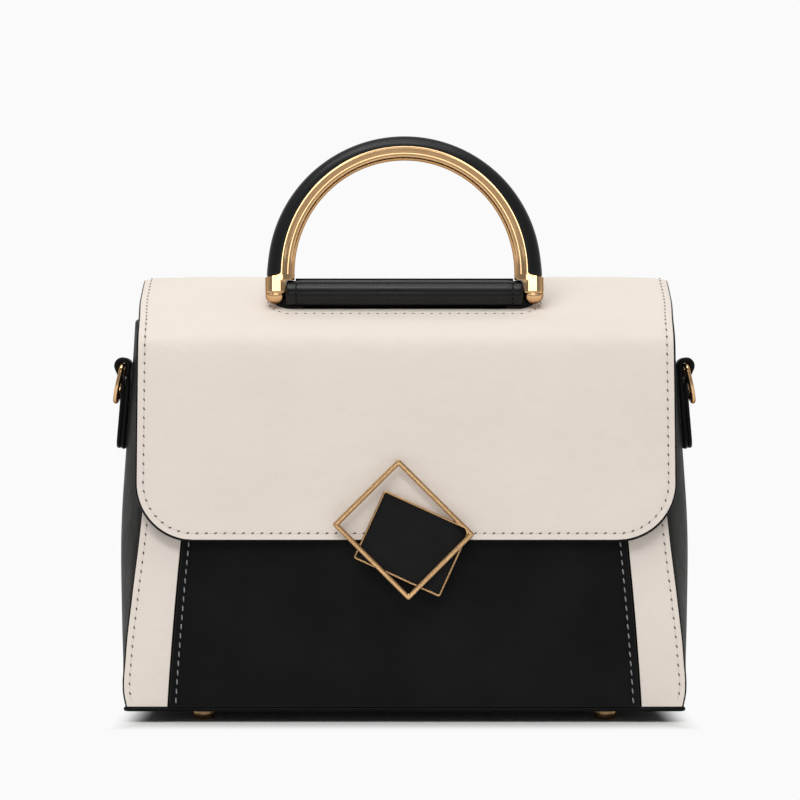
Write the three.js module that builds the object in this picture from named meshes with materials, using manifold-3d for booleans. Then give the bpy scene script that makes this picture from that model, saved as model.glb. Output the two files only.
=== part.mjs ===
// A structured leather satchel: a hollow two-colour body, a fold-over flap with a slot for the handle,
// a D-shaped metal handle with a leather grip, a square ornament clasp, D-rings on side tabs and feet.
// Millimetres, +Z up, front towards -Y. The origin is on the floor under the middle of the bag.

import * as THREE from "three";
import { mergeVertices } from "three/addons/utils/BufferGeometryUtils.js";
import Module from "manifold-3d";

const wasm = await Module();
wasm.setup();

// Driving dimensions
const GAP = 0.3; // between neighbouring pieces
const SET_BACK = 1.15; // puts the origin under the middle of the whole depth, clasp included
const PANEL_WALL = 1.8; // board-backed leather of the body panels
const FLAP_WALL = 2.2;
const GUSSET_WALL = 2;
const LAP = 1; // how far the centre panel stands proud of the side strips it is lapped over
const BELLY = 1.2; // outward swell of the front and back panels
const FOOT = { radius: 4.9, sole: 3.6, height: 5, x: 93.6, y: 37 };
const BASE = { thickness: 2.3, halfWidth: 129.8, halfDepth: 55.8, corner: 3.5 };
const BODY_BOTTOM = FOOT.height + BASE.thickness + GAP;
const FRONT_TOP = 172;
const BACK_TOP = 184;
const GUSSET_CROWN = 9; // rise of the gusset's top edge above the line from front to back
const FLAP = { halfWidth: 125, bottom: 83.4, corner: 25, flare: 1.5, flareFrom: -34, flareTo: 0 };
const SLOT = { halfLength: 63, front: -16, back: 4, endRadius: 9.4, frontRun: 14, backRun: 6 };
const SEAT = { wall: 1.6, halfLength: 70, front: -25, back: 13 };

// Body sections by height: half width at the front and back edges, half width of the black centre panel,
// half width at the gusset's fullest point, and half depth at the edges.
const SECTIONS = [
  { z: 7.6, edge: 128.8, seam: 108.6, side: 130.2, depth: 55.0 },
  { z: 12, edge: 129.8, seam: 108.4, side: 131.4, depth: 54.4 },
  { z: 30, edge: 129.5, seam: 107.3, side: 133.4, depth: 52.2 },
  { z: 56, edge: 127.0, seam: 105.4, side: 134.7, depth: 48.9 },
  { z: 84, edge: 123.8, seam: 103.0, side: 135.1, depth: 45.3 },
  { z: 120, edge: 120.6, seam: 100.2, side: 133.2, depth: 40.8 },
  { z: 150, edge: 118.9, seam: 98.4, side: 130.8, depth: 37.0 },
  { z: 188, edge: 117.6, seam: 97.0, side: 128.4, depth: 32.2 },
];

// The flap's outer face seen from the side, from its front edge over the top to the seam on the back panel.
const FLAP_PROFILE = [
  { y: -50.6, z: FLAP.bottom },
  { y: -44.8, z: 130 },
  { y: -39.9, z: 165 },
  { y: -36.8, z: 177.5 },
  { y: -30.5, z: 184.8 },
  { y: -22.0, z: 189.2 },
  { y: -12.0, z: 193.7 },
  { y: 2.0, z: 199.6 },
  { y: 15.0, z: 204.6 },
  { y: 26.0, z: 207.6 },
  { y: 33.0, z: 204.6 },
  { y: 36.4, z: 196 },
  { y: 37.6, z: 183 },
  { y: 41.2, z: 150 },
];

const HANDLE = {
  y: -15,
  barHeight: 199.1,
  bendHeight: 208.5,
  bendRadius: 58.95,
  radial: 6.3, // half the tube across the loop
  deep: 5.5, // half the tube from front to back
  barRadius: 2.5,
  notchEnd: 56.3, // the legs are scooped out round the sleeve's ends as far as this
};
// The domed leg end: how far below the bend, and the share of the full section there.
const LEG_END = [
  { drop: 14.2, share: 0.22 },
  { drop: 13.8, share: 0.52 },
  { drop: 12.9, share: 0.77 },
  { drop: 11.4, share: 0.94 },
  { drop: 9.9, share: 1 },
  { drop: 9.5, share: 0.93 },
  { drop: 9.1, share: 1 },
];
const GRIP = { thickness: 1.7, proud: 0.15 };
const SLEEVE = { radius: 6.1, bore: 2.85, halfLength: 55.8, neckHalfLength: 48, neckFront: -14.6, neckBack: -10.6 };
// The sleeve's lapped layer, between two angles up from the back.
const SLEEVE_LAP = { radius: 7.5, halfLength: 51.6, from: -20, to: 76 };

const CLASP = {
  x: -0.5,
  z: 88.4,
  frame: { along: 49.8, across: 43.4, band: 2.3, turn: -45, corner: 1.2, x: 0, y: 0, from: 2.6, to: 4.5 },
  plate: { along: 43.8, across: 34.6, rim: 0.9, turn: -24.5, corner: 1.2, x: 3.9, y: -6.4, from: 0.8, to: 2.7 },
  pocketFloor: 1.4,
  inlay: { from: 1.7, to: 2.3 },
  boss: { radius: 6, y: 6 },
  crossing: { radius: 9, x: 27, y: 7.5 }, // where the plate's corner lies over the frame
};

const TAB = { halfWidth: 8.2, layers: 4.4, bottom: 126, neck: 160, loopRadius: 4.1, bore: 1.7, corner: 4 };
const RING = { x: 134.1, z: 164.9, wire: 1.2, halfWidth: 10, straight: 6.8, corner: 2.5, lean: 12 };

const CREAM = { color: 0xe2d6ca, roughness: 0.55, metalness: 0 };
const BLACK = { color: 0x18191a, roughness: 0.45, metalness: 0 };
const GUSSET_BLACK = { color: 0x2b2b28, roughness: 0.55, metalness: 0 };
const GOLD = { color: 0xd3a56b, roughness: 0.2, metalness: 1 };
const ENAMEL = { color: 0x151516, roughness: 0.35, metalness: 0 };

// Shape helpers

const degrees = THREE.MathUtils.degToRad;

// One column of a table as a smooth function of another column.
function smooth(table, along, name) {
  const curve = new THREE.CubicInterpolant(
    table.map((row) => row[along]),
    table.map((row) => row[name]),
    1,
    [0],
  );
  return (t) => curve.evaluate(t)[0];
}

function geometryOf(positions, index) {
  const geometry = new THREE.BufferGeometry();
  geometry.setAttribute("position", new THREE.Float32BufferAttribute(positions, 3));
  geometry.setIndex(index);
  return geometry;
}

// Turns every face round if the closed surface faces inwards.
function facingOut(geometry) {
  const p = geometry.getAttribute("position");
  const index = Array.from(geometry.index.array);
  const [a, b, c] = [new THREE.Vector3(), new THREE.Vector3(), new THREE.Vector3()];
  let volume = 0;
  for (let i = 0; i < index.length; i += 3) {
    a.fromBufferAttribute(p, index[i]);
    b.fromBufferAttribute(p, index[i + 1]);
    c.fromBufferAttribute(p, index[i + 2]);
    volume += a.dot(b.cross(c));
  }
  if (volume < 0) geometry.setIndex(index.reverse());
  return geometry;
}

// A closed wall between two faces on one grid. Each face gives a point for u and v from 0 to 1.
function wall(columns, rows, outer, inner) {
  const positions = [];
  for (const face of [outer, inner]) {
    for (let j = 0; j <= rows; j++) {
      for (let i = 0; i <= columns; i++) positions.push(...face(i / columns, j / rows));
    }
  }
  const at = (i, j, layer) => layer * (columns + 1) * (rows + 1) + j * (columns + 1) + i;
  const index = [];
  const quad = (a, b, c, d) => index.push(a, b, c, a, c, d);
  for (let j = 0; j < rows; j++) {
    for (let i = 0; i < columns; i++) {
      quad(at(i, j, 0), at(i + 1, j, 0), at(i + 1, j + 1, 0), at(i, j + 1, 0));
      quad(at(i, j, 1), at(i, j + 1, 1), at(i + 1, j + 1, 1), at(i + 1, j, 1));
    }
    quad(at(0, j, 0), at(0, j + 1, 0), at(0, j + 1, 1), at(0, j, 1));
    quad(at(columns, j, 0), at(columns, j, 1), at(columns, j + 1, 1), at(columns, j + 1, 0));
  }
  for (let i = 0; i < columns; i++) {
    quad(at(i, 0, 0), at(i, 0, 1), at(i + 1, 0, 1), at(i + 1, 0, 0));
    quad(at(i, rows, 0), at(i + 1, rows, 0), at(i + 1, rows, 1), at(i, rows, 1));
  }
  return facingOut(geometryOf(positions, index));
}

// Sweeps a closed 2-D outline through stations, as a capped bar or a closed ring.
// place(point, station) gives an outline point's position in space.
function sweep(outline, stations, place, ring = false) {
  const n = outline.length;
  const positions = stations.flatMap((s) => outline.flatMap((p) => place(p, s)));
  const index = [];
  const spans = ring ? stations.length : stations.length - 1;
  for (let k = 0; k < spans; k++) {
    const next = (k + 1) % stations.length;
    for (let i = 0; i < n; i++) {
      const j = (i + 1) % n;
      index.push(k * n + i, k * n + j, next * n + j, k * n + i, next * n + j, next * n + i);
    }
  }
  if (!ring) {
    const end = (stations.length - 1) * n;
    for (const [a, b, c] of THREE.ShapeUtils.triangulateShape(outline, [])) {
      index.push(a, c, b, end + a, end + b, end + c);
    }
  }
  return facingOut(geometryOf(positions, index));
}

// Points on an ellipse from one angle to another, both ends included.
function arc(radiusX, radiusY, from, to, steps) {
  return Array.from({ length: steps + 1 }, (_, i) => {
    const a = degrees(from + ((to - from) * i) / steps);
    return new THREE.Vector2(radiusX * Math.cos(a), radiusY * Math.sin(a));
  });
}

// A prism of a flat shape along X (shape in Y, Z), along Y (shape in X, Z) or along Z (shape in X, Y).
const AXES = { x: new THREE.Vector3(1, 0, 0), y: new THREE.Vector3(0, 1, 0), z: new THREE.Vector3(0, 0, 1) };
function prism(axis, shape, from, to, curveSegments = 8) {
  const geometry = new THREE.ExtrudeGeometry(shape, { depth: to - from, bevelEnabled: false, curveSegments });
  const turn = new THREE.Matrix4();
  if (axis === "x") turn.makeBasis(AXES.y, AXES.z, AXES.x).setPosition(from, 0, 0);
  if (axis === "y") turn.makeBasis(AXES.x, AXES.z, AXES.y.clone().negate()).setPosition(0, to, 0);
  if (axis === "z") turn.setPosition(0, 0, from);
  return geometry.applyMatrix4(turn);
}

// A round bar along X or Y, centred at a point.
function bar(axis, radius, length, centre, sides = 24) {
  const geometry = new THREE.CylinderGeometry(radius, radius, length, sides);
  if (axis === "x") geometry.rotateZ(Math.PI / 2);
  return geometry.translate(...centre);
}

// A rectangle with round corners, turned about its own centre.
function roundedRectangle(width, height, radius, turn = 0, x = 0, y = 0) {
  const [w, h] = [width / 2 - radius, height / 2 - radius];
  const corners = [[w, h], [-w, h], [-w, -h], [w, -h]];
  const points = corners.flatMap(([cx, cy], k) =>
    arc(radius, radius, k * 90, k * 90 + 90, 4).map((p) => p.add(new THREE.Vector2(cx, cy))),
  );
  const centre = new THREE.Vector2(x, y);
  return new THREE.Shape(points.map((p) => p.rotateAround(new THREE.Vector2(), degrees(turn)).add(centre)));
}

function solidOf(geometry) {
  const bare = geometry.clone();
  bare.deleteAttribute("normal");
  bare.deleteAttribute("uv");
  const merged = mergeVertices(bare, 1e-4);
  const vertProperties = new Float32Array(merged.attributes.position.array);
  const triVerts = new Uint32Array(merged.index.array);
  return new wasm.Manifold(new wasm.Mesh({ numProp: 3, vertProperties, triVerts }));
}

function geometryFrom(solid) {
  const mesh = solid.getMesh();
  return geometryOf(Array.from(mesh.vertProperties), Array.from(mesh.triVerts));
}

// The same piece on the other side of the bag.
function mirrored(geometry) {
  const copy = geometry.clone().scale(-1, 1, 1);
  return copy.setIndex(Array.from(copy.index.array).reverse());
}

const bag = new THREE.Group();
const pieces = new THREE.Group();
pieces.position.y = SET_BACK;
bag.add(pieces);

function add(name, geometry, finish, parent = pieces) {
  geometry.computeVertexNormals();
  const mesh = new THREE.Mesh(geometry, new THREE.MeshStandardMaterial(finish));
  mesh.name = name;
  parent.add(mesh);
  return mesh;
}

// Body

const edgeAt = smooth(SECTIONS, "z", "edge");
const seamAt = smooth(SECTIONS, "z", "seam");
const sideAt = smooth(SECTIONS, "z", "side");
const depthAt = smooth(SECTIONS, "z", "depth");
const heightAt = (v, top) => THREE.MathUtils.lerp(BODY_BOTTOM, top, v);

// How far a body panel's face lies from the middle plane.
function panelReach(x, z) {
  const across = 1 - (x / edgeAt(z)) ** 2;
  const upwards = Math.sin((Math.PI * (z - BODY_BOTTOM)) / (FRONT_TOP - BODY_BOTTOM));
  return depthAt(z) + BELLY * across * Math.max(0, upwards);
}

function frontPanel() {
  const at = (offset) => (u, v) => {
    const z = heightAt(v, FRONT_TOP);
    const x = (2 * u - 1) * seamAt(z);
    return [x, -panelReach(x, z) + offset, z];
  };
  return wall(8, 12, at(-LAP), at(PANEL_WALL));
}

function frontStrip() {
  const at = (offset) => (u, v) => {
    const z = heightAt(v, FRONT_TOP);
    const x = THREE.MathUtils.lerp(seamAt(z) + GAP, edgeAt(z), u);
    return [x, -panelReach(x, z) + offset, z];
  };
  return wall(2, 16, at(0), at(PANEL_WALL));
}

function backPanel() {
  const at = (offset) => (u, v) => {
    const z = heightAt(v, BACK_TOP);
    const x = (1 - 2 * u) * edgeAt(z);
    return [x, panelReach(x, z) + offset, z];
  };
  return wall(8, 14, at(LAP), at(LAP - PANEL_WALL));
}

// The gusset runs from the front panel's back face to the back panel's inner face and swells between them.
function gusset() {
  const inset = PANEL_WALL + GAP;
  const at = (offset) => (u, v) => {
    const top = THREE.MathUtils.lerp(FRONT_TOP, BACK_TOP, u) - GAP + GUSSET_CROWN * Math.sin(Math.PI * u);
    const z = heightAt(v, top);
    const y = THREE.MathUtils.lerp(-depthAt(z) + inset, depthAt(z) + LAP - inset, u);
    const swell = Math.sin(Math.PI * u) ** 0.8;
    return [THREE.MathUtils.lerp(edgeAt(z) - GAP, sideAt(z), swell) - offset, y, z];
  };
  return wall(12, 12, at(0), at(GUSSET_WALL));
}

function basePanel() {
  const shape = roundedRectangle(2 * BASE.halfWidth, 2 * BASE.halfDepth, BASE.corner);
  return prism("z", shape, FOOT.height, FOOT.height + BASE.thickness);
}

// A low domed foot with a flat sole.
function foot(x, y) {
  const profile = [
    [0, 0],
    [FOOT.sole, 0],
    [FOOT.radius * 0.93, FOOT.height * 0.26],
    [FOOT.radius, FOOT.height * 0.55],
    [FOOT.radius, FOOT.height - GAP],
    [0, FOOT.height - GAP],
  ].map(([r, z]) => new THREE.Vector2(r, z));
  return new THREE.LatheGeometry(profile, 20).rotateX(Math.PI / 2).translate(x, y, 0);
}

add("front_panel", frontPanel(), BLACK);
add("front_strip_right", frontStrip(), CREAM);
add("front_strip_left", mirrored(frontStrip()), CREAM);
add("back_panel", backPanel(), BLACK);
add("gusset_right", gusset(), GUSSET_BLACK);
add("gusset_left", mirrored(gusset()), GUSSET_BLACK);
add("base_panel", basePanel(), BLACK);
for (const [row, y] of [["front", -FOOT.y], ["back", FOOT.y]]) {
  add(`foot_${row}_left`, foot(-FOOT.x, y), GOLD);
  add(`foot_${row}_right`, foot(FOOT.x, y), GOLD);
}

// Flap

const flapCurve = new THREE.SplineCurve(FLAP_PROFILE.map((p) => new THREE.Vector2(p.y, p.z)));

// A point of the flap's side profile, moved inwards by inset. t runs from 0 to 1 over the profile's rows.
function flapAt(t, inset = 0) {
  const p = flapCurve.getPoint(t);
  const tangent = flapCurve.getTangent(t);
  return new THREE.Vector2(p.x + tangent.y * inset, p.y - tangent.x * inset);
}

// Where along the profile its outer face passes a depth.
function flapRow(y) {
  let [low, high] = [0, 1];
  while (high - low > 1e-6) {
    const middle = (low + high) / 2;
    if (flapCurve.getPoint(middle).x < y) low = middle;
    else high = middle;
  }
  return low;
}

// The flap's slot in plan: a long hole with elliptic corners.
function slotShape() {
  const straight = SLOT.halfLength - SLOT.endRadius;
  const corner = (x, y, run, from) =>
    arc(SLOT.endRadius, run, from, from + 90, 6).map((p) => p.add(new THREE.Vector2(x, y)));
  return new THREE.Shape([
    ...corner(straight, SLOT.back - SLOT.backRun, SLOT.backRun, 0),
    ...corner(-straight, SLOT.back - SLOT.backRun, SLOT.backRun, 90),
    ...corner(-straight, SLOT.front + SLOT.frontRun, SLOT.frontRun, 180),
    ...corner(straight, SLOT.front + SLOT.frontRun, SLOT.frontRun, 270),
  ]);
}

// What is cut from the flap's lower right corner to round it.
function cornerOffcut() {
  const [x, z, r] = [FLAP.halfWidth, FLAP.bottom, FLAP.corner];
  const spare = 2;
  const quarter = arc(r, r, -90, 0, 8).map((p) => p.add(new THREE.Vector2(x - r, z + r)));
  const outside = [[x + spare, z + r], [x + spare, z - spare], [x - r, z - spare]];
  return new THREE.Shape([...quarter, ...outside.map(([a, b]) => new THREE.Vector2(a, b))]);
}

function flap() {
  const at = (inset) => (u, v) => {
    const p = flapAt(v, inset);
    const flare = FLAP.flare * THREE.MathUtils.smoothstep(flapAt(v).x, FLAP.flareFrom, FLAP.flareTo);
    return [(2 * u - 1) * (FLAP.halfWidth + flare), p.x, p.y];
  };
  const sheet = wall(8, 3 * (FLAP_PROFILE.length - 1), at(0), at(FLAP_WALL));
  const slotCut = prism("z", slotShape(), BACK_TOP, HANDLE.bendHeight + 10);
  const offcut = prism("y", cornerOffcut(), -2 * BASE.halfDepth, 0);
  return geometryFrom(
    solidOf(sheet)
      .subtract(solidOf(slotCut))
      .subtract(solidOf(offcut))
      .subtract(solidOf(mirrored(mergeVertices(offcut)))),
  );
}

// The patch that closes the slot from below and carries the handle's sleeve. It lies under the flap.
function seat() {
  const [front, back] = [flapRow(SEAT.front), flapRow(SEAT.back)];
  const at = (inset) => (u, v) => {
    const p = flapAt(THREE.MathUtils.lerp(front, back, v), FLAP_WALL + GAP + inset);
    return [(2 * u - 1) * SEAT.halfLength, p.x, p.y];
  };
  return wall(2, 10, at(0), at(SEAT.wall));
}

add("flap", flap(), CREAM);
add("handle_seat", seat(), BLACK);

// Handle: its sections start from the tube's centre line, x away from the loop's centre and y to the back.

function handlePath() {
  const leg = (x, angle) =>
    LEG_END.map((row) => ({ x, z: HANDLE.bendHeight - row.drop, angle, share: row.share }));
  return [...leg(HANDLE.bendRadius, 0), ...bendPath(0, 180, 36), ...leg(-HANDLE.bendRadius, 180).reverse()];
}

function bendPath(from, to, steps) {
  return Array.from({ length: steps + 1 }, (_, i) => {
    const angle = from + ((to - from) * i) / steps;
    const a = degrees(angle);
    return {
      x: HANDLE.bendRadius * Math.cos(a),
      z: HANDLE.bendHeight + HANDLE.bendRadius * Math.sin(a),
      angle,
      share: 1,
    };
  });
}

function placeOnHandle(point, station) {
  const a = degrees(station.angle);
  const out = point.x * station.share;
  return [station.x + out * Math.cos(a), HANDLE.y + point.y * station.share, station.z + out * Math.sin(a)];
}

// A C-shaped section over the outer half of the tube, from its grown outside to its inside.
function outerHalf(grow, depth, lip) {
  const outside = arc(HANDLE.radial + grow, HANDLE.deep + grow, -90, 90, 8);
  const inside = arc(HANDLE.radial - depth, HANDLE.deep - depth, 90, -90, 8);
  const shift = (p) => (Math.abs(p.x) < 1e-6 ? new THREE.Vector2(-lip, p.y) : p);
  return [...outside.map(shift), ...inside.map(shift)];
}

function handleFrame() {
  const section = arc(HANDLE.radial, HANDLE.deep, 0, 337.5, 15);
  const tube = solidOf(sweep(section, handlePath(), placeOnHandle));
  const endGap = 0.35; // in degrees round the bend
  const pocket = sweep(
    outerHalf(1, GRIP.thickness + GAP, GAP),
    bendPath(-endGap, 180 + endGap, 36),
    placeOnHandle,
  );
  const axis = [0, HANDLE.y, HANDLE.barHeight];
  const scoop = bar("x", SLEEVE.radius + 0.5, 2 * HANDLE.notchEnd, axis, 32);
  const rod = bar("x", HANDLE.barRadius, 2 * HANDLE.bendRadius, axis, 16);
  return geometryFrom(tube.subtract(solidOf(pocket)).subtract(solidOf(scoop)).add(solidOf(rod)));
}

function handleGrip() {
  return sweep(outerHalf(GRIP.proud, GRIP.thickness, 0), bendPath(0, 180, 36), placeOnHandle);
}

// The leather roll round the handle's rod, with its lapped back layer and the neck down to the patch.
function handleSleeve() {
  const axis = new THREE.Vector2(HANDLE.y, HANDLE.barHeight);
  const roll = bar("x", SLEEVE.radius, 2 * SLEEVE.halfLength, [0, HANDLE.y, HANDLE.barHeight], 28);
  const bore = bar("x", SLEEVE.bore, 2 * SLEEVE.halfLength + 2, [0, HANDLE.y, HANDLE.barHeight], 20);
  const { radius, halfLength, from, to } = SLEEVE_LAP;
  const sunk = SLEEVE.radius - 0.4;
  const lapShape = new THREE.Shape(
    [...arc(radius, radius, from, to, 10), ...arc(sunk, sunk, to, from, 10)].map((p) => p.add(axis)),
  );
  const neckTop = HANDLE.barHeight - SLEEVE.bore - 1;
  const neckShape = new THREE.Shape([
    flapAt(flapRow(SLEEVE.neckFront), FLAP_WALL),
    flapAt(flapRow(SLEEVE.neckBack), FLAP_WALL),
    new THREE.Vector2(SLEEVE.neckBack, neckTop),
    new THREE.Vector2(SLEEVE.neckFront, neckTop),
  ]);
  return geometryFrom(
    solidOf(roll)
      .add(solidOf(prism("x", lapShape, -halfLength, halfLength)))
      .add(solidOf(prism("x", neckShape, -SLEEVE.neckHalfLength, SLEEVE.neckHalfLength)))
      .subtract(solidOf(bore)),
  );
}

add("handle_frame", handleFrame(), GOLD);
add("handle_grip", handleGrip(), BLACK);
add("handle_sleeve", handleSleeve(), BLACK);

// Clasp: drawn flat, x to the right, y up the flap and z out of it, then set on the flap's face.

// The outline of the frame or the plate, shrunk all round.
function claspOutline({ along, across, corner, turn, x, y }, shrink = 0) {
  const radius = Math.max(0.5, corner - shrink);
  return roundedRectangle(along - 2 * shrink, across - 2 * shrink, radius, turn, x, y);
}

const disc = (radius, x, y) => new THREE.Shape().absarc(x, y, radius, 0, 2 * Math.PI);

function claspMetal() {
  const { frame, plate, boss, crossing } = CLASP;
  const block = (shape, from, to) => solidOf(prism("z", shape, from, to));
  const above = frame.to + 1;
  const square = block(claspOutline(frame), frame.from, frame.to);
  const window = block(claspOutline(frame, frame.band), frame.from - 1, above);
  const pocket = block(claspOutline(plate, plate.rim), CLASP.pocketFloor, above);
  const tray = block(claspOutline(plate), plate.from, plate.to).subtract(pocket);
  const nearCrossing = block(disc(crossing.radius, crossing.x, crossing.y), 0, above);
  const raisedRim = block(claspOutline(plate), plate.from, frame.to).subtract(pocket).intersect(nearCrossing);
  const post = block(disc(boss.radius, 0, boss.y), GAP, CLASP.pocketFloor);
  return geometryFrom(
    square.subtract(window).subtract(pocket.intersect(nearCrossing)).add(tray).add(raisedRim).add(post),
  );
}

function claspInlay() {
  return prism("z", claspOutline(CLASP.plate, CLASP.plate.rim + GAP), CLASP.inlay.from, CLASP.inlay.to);
}

// Sets the clasp on the flap where the profile passes its height.
const clasp = new THREE.Group();
let claspRow = 0;
while (flapAt(claspRow).y < CLASP.z) claspRow += 0.0005;
const claspSeat = flapAt(claspRow);
const flapUp = flapCurve.getTangent(claspRow);
clasp.position.set(CLASP.x, claspSeat.x, claspSeat.y);
clasp.rotation.x = Math.atan2(flapUp.y, flapUp.x);
pieces.add(clasp);
add("clasp_frame", claspMetal(), GOLD, clasp);
add("clasp_inlay", claspInlay(), ENAMEL, clasp);

// Side tabs and D-rings

// A strap end folded round the ring's bar and laid down the gusset, seen from the front.
function strapTab() {
  const rows = [0, 0.2, 0.4, 0.6, 0.8, 1].map((v) => THREE.MathUtils.lerp(TAB.bottom, TAB.neck, v));
  const side = (offset) => rows.map((z) => new THREE.Vector2(sideAt(z) + GAP + offset, z));
  const reach = new THREE.Vector2(RING.x - TAB.loopRadius, RING.z);
  const outerReach = new THREE.Vector2(RING.x + TAB.loopRadius * 0.5, RING.z);
  const strip = new THREE.Shape([...side(TAB.layers), outerReach, reach, ...side(0).reverse()]);
  const axis = [RING.x, 0, RING.z];
  const length = 2 * (RING.z - TAB.bottom);
  const end = roundedRectangle(2 * TAB.halfWidth, length, TAB.corner, 0, 0, TAB.bottom + length / 2);
  return geometryFrom(
    solidOf(prism("y", strip, -TAB.halfWidth, TAB.halfWidth))
      .intersect(solidOf(prism("x", end, 0, 2 * RING.x)))
      .add(solidOf(bar("y", TAB.loopRadius, 2 * TAB.halfWidth, axis, 20)))
      .subtract(solidOf(bar("y", TAB.bore, 4 * TAB.halfWidth, axis, 16))),
  );
}

// The ring's centre line in its own plane: a straight bar, two sides and a round bow, then leant off the tab.
function strapRing() {
  const { halfWidth, straight, corner } = RING;
  const line = new THREE.CurvePath();
  const point = (y, z) => new THREE.Vector3(0, y, z);
  const corners = [
    [point(-halfWidth + corner, 0), point(halfWidth - corner, 0)],
    [point(halfWidth, -corner), point(halfWidth, -straight)],
    [point(-halfWidth, -straight), point(-halfWidth, -corner)],
  ];
  const bend = (from, at, to) => new THREE.QuadraticBezierCurve3(from, at, to);
  const bow = 4 / 3;
  line.add(new THREE.LineCurve3(...corners[0]));
  line.add(bend(corners[0][1], point(halfWidth, 0), corners[1][0]));
  line.add(new THREE.LineCurve3(...corners[1]));
  line.add(
    new THREE.CubicBezierCurve3(
      corners[1][1],
      point(halfWidth, -straight - bow * halfWidth),
      point(-halfWidth, -straight - bow * halfWidth),
      corners[2][0],
    ),
  );
  line.add(new THREE.LineCurve3(...corners[2]));
  line.add(bend(corners[2][1], point(-halfWidth, 0), corners[0][0]));
  const count = 34;
  const stations = Array.from({ length: count }, (_, i) => ({
    at: line.getPointAt(i / count),
    out: new THREE.Vector3(1, 0, 0).cross(line.getTangentAt(i / count)),
  }));
  const place = (p, s) => [p.x, s.at.y + s.out.y * p.y, s.at.z + s.out.z * p.y];
  const ring = sweep(arc(RING.wire, RING.wire, 0, 315, 7), stations, place, true);
  return ring.rotateY(-degrees(RING.lean)).translate(RING.x, 0, RING.z);
}

add("strap_tab_right", strapTab(), BLACK);
add("strap_tab_left", mirrored(strapTab()), BLACK);
add("strap_ring_right", strapRing(), GOLD);
add("strap_ring_left", mirrored(strapRing()), GOLD);

export default bag;
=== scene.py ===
import math

import bpy
import numpy as np
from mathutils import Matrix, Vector


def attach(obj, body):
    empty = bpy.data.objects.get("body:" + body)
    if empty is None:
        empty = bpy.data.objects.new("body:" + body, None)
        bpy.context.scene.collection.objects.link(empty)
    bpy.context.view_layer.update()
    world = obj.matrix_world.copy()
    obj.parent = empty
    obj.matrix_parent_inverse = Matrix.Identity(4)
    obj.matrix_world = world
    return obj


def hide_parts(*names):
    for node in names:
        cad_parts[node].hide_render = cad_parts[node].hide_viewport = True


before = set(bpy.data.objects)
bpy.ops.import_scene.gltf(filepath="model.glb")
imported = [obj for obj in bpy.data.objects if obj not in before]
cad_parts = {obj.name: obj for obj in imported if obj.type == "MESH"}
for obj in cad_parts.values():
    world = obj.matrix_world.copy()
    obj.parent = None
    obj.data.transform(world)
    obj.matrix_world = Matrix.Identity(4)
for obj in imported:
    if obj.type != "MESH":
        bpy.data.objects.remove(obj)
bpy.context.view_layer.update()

# Sizes, in millimetres, in the part's own frame before it is set back
MM = 0.001
SET_BACK = 1.15
GAP = 0.3
PANEL_WALL = 1.8
FLAP_WALL = 2.2
GUSSET_WALL = 2.0
LAP = 1.0
BELLY = 1.2
FOOT = {"radius": 4.9, "sole": 3.6, "height": 5.0, "dome": 2.75, "x": 93.6, "y": 37.0}
BASE = {"thickness": 2.0, "half_width": 129.8, "half_depth": 55.8, "corner": 3.5}
BODY_BOTTOM = 7.0
FRONT_TOP = 172.0
BACK_TOP = 184.0
GUSSET_CROWN = 9.0
STRIP_WIDTH = 21.0
FLAP = {"half_width": 125.1, "corner": 27.6, "flare": 1.6, "flare_from": -34.0, "flare_to": 0.0,
        "wider_right": 1.4}
# How far before the slot the flap's rows of points begin to follow its edge, and their step before that
FLAP_LEAD = 16.0
FLAP_STEP = 3.6
SLOT = {"half_length": 63.0, "front": -16.0, "back": 4.0, "end_radius": 9.4, "front_run": 13.0,
        "back_run": 5.0}
SLOT_STRAIGHT = SLOT["half_length"] - SLOT["end_radius"]
SEAT = {"wall": 1.6, "half_length": 70.0, "front": -25.0, "back": 13.0}

# Body sections by height: half width at the edges, of the centre panel, at the gusset, and half depth
SECTION_Z = np.array([7.6, 12, 30, 56, 84, 120, 150, 188])
EDGE = np.array([128.8, 129.8, 129.5, 127.0, 123.8, 120.6, 118.9, 117.6])
SEAM = np.array([108.6, 108.4, 107.3, 105.4, 103.0, 100.2, 98.4, 97.0])
SIDE = np.array([130.2, 131.4, 133.4, 134.7, 135.1, 133.2, 130.8, 128.4])
DEPTH = np.array([55.0, 54.4, 52.2, 48.9, 45.3, 40.8, 37.0, 32.2])

# The flap from the side, y and z, from its front edge over the top to the seam on the back
FLAP_PROFILE = np.array([
    (-50.7, 83.0), (-44.8, 130), (-39.9, 165), (-36.8, 177.5), (-30.5, 184.8), (-22, 189.2), (-12, 193.7),
    (2, 199.8), (15, 205.2), (26, 208.4), (33, 205.2), (36.4, 196.3), (37.6, 183), (41.2, 150),
])
# The droop of the flap's top towards its two ends: depth, where it starts, how far it runs
DROOP = ((0.9, 92.0, 33.0), (1.0, 118.0, 7.0))
DROOP_HEIGHTS = (175.0, 201.0)
CREST_DIP = {"depth": 3.2, "half_length": 63.0, "sharpness": 14, "from": -4.0, "to": 18.0, "low": 185.0,
             "rise": 15.0}

HANDLE = {
    "y": -15.0, "bar_height": 199.1, "bend_height": 208.65, "bend_radius": 58.75, "radial": 6.05, "deep": 5.3,
    "inner": 6.75, "thinner_at_top": 1.3, "bar_radius": 2.5,
}
# The gold half of the handle's section: share of its width from the grip inwards, and how far it is raised
MOULDING = np.array([
    (0.0, 0.0), (0.13, 0.0), (0.2, -0.12), (0.32, -0.28), (0.44, -0.18), (0.6, 0.0), (0.64, -0.16),
    (0.68, 0.0), (1.0, 0.0),
])
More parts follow.
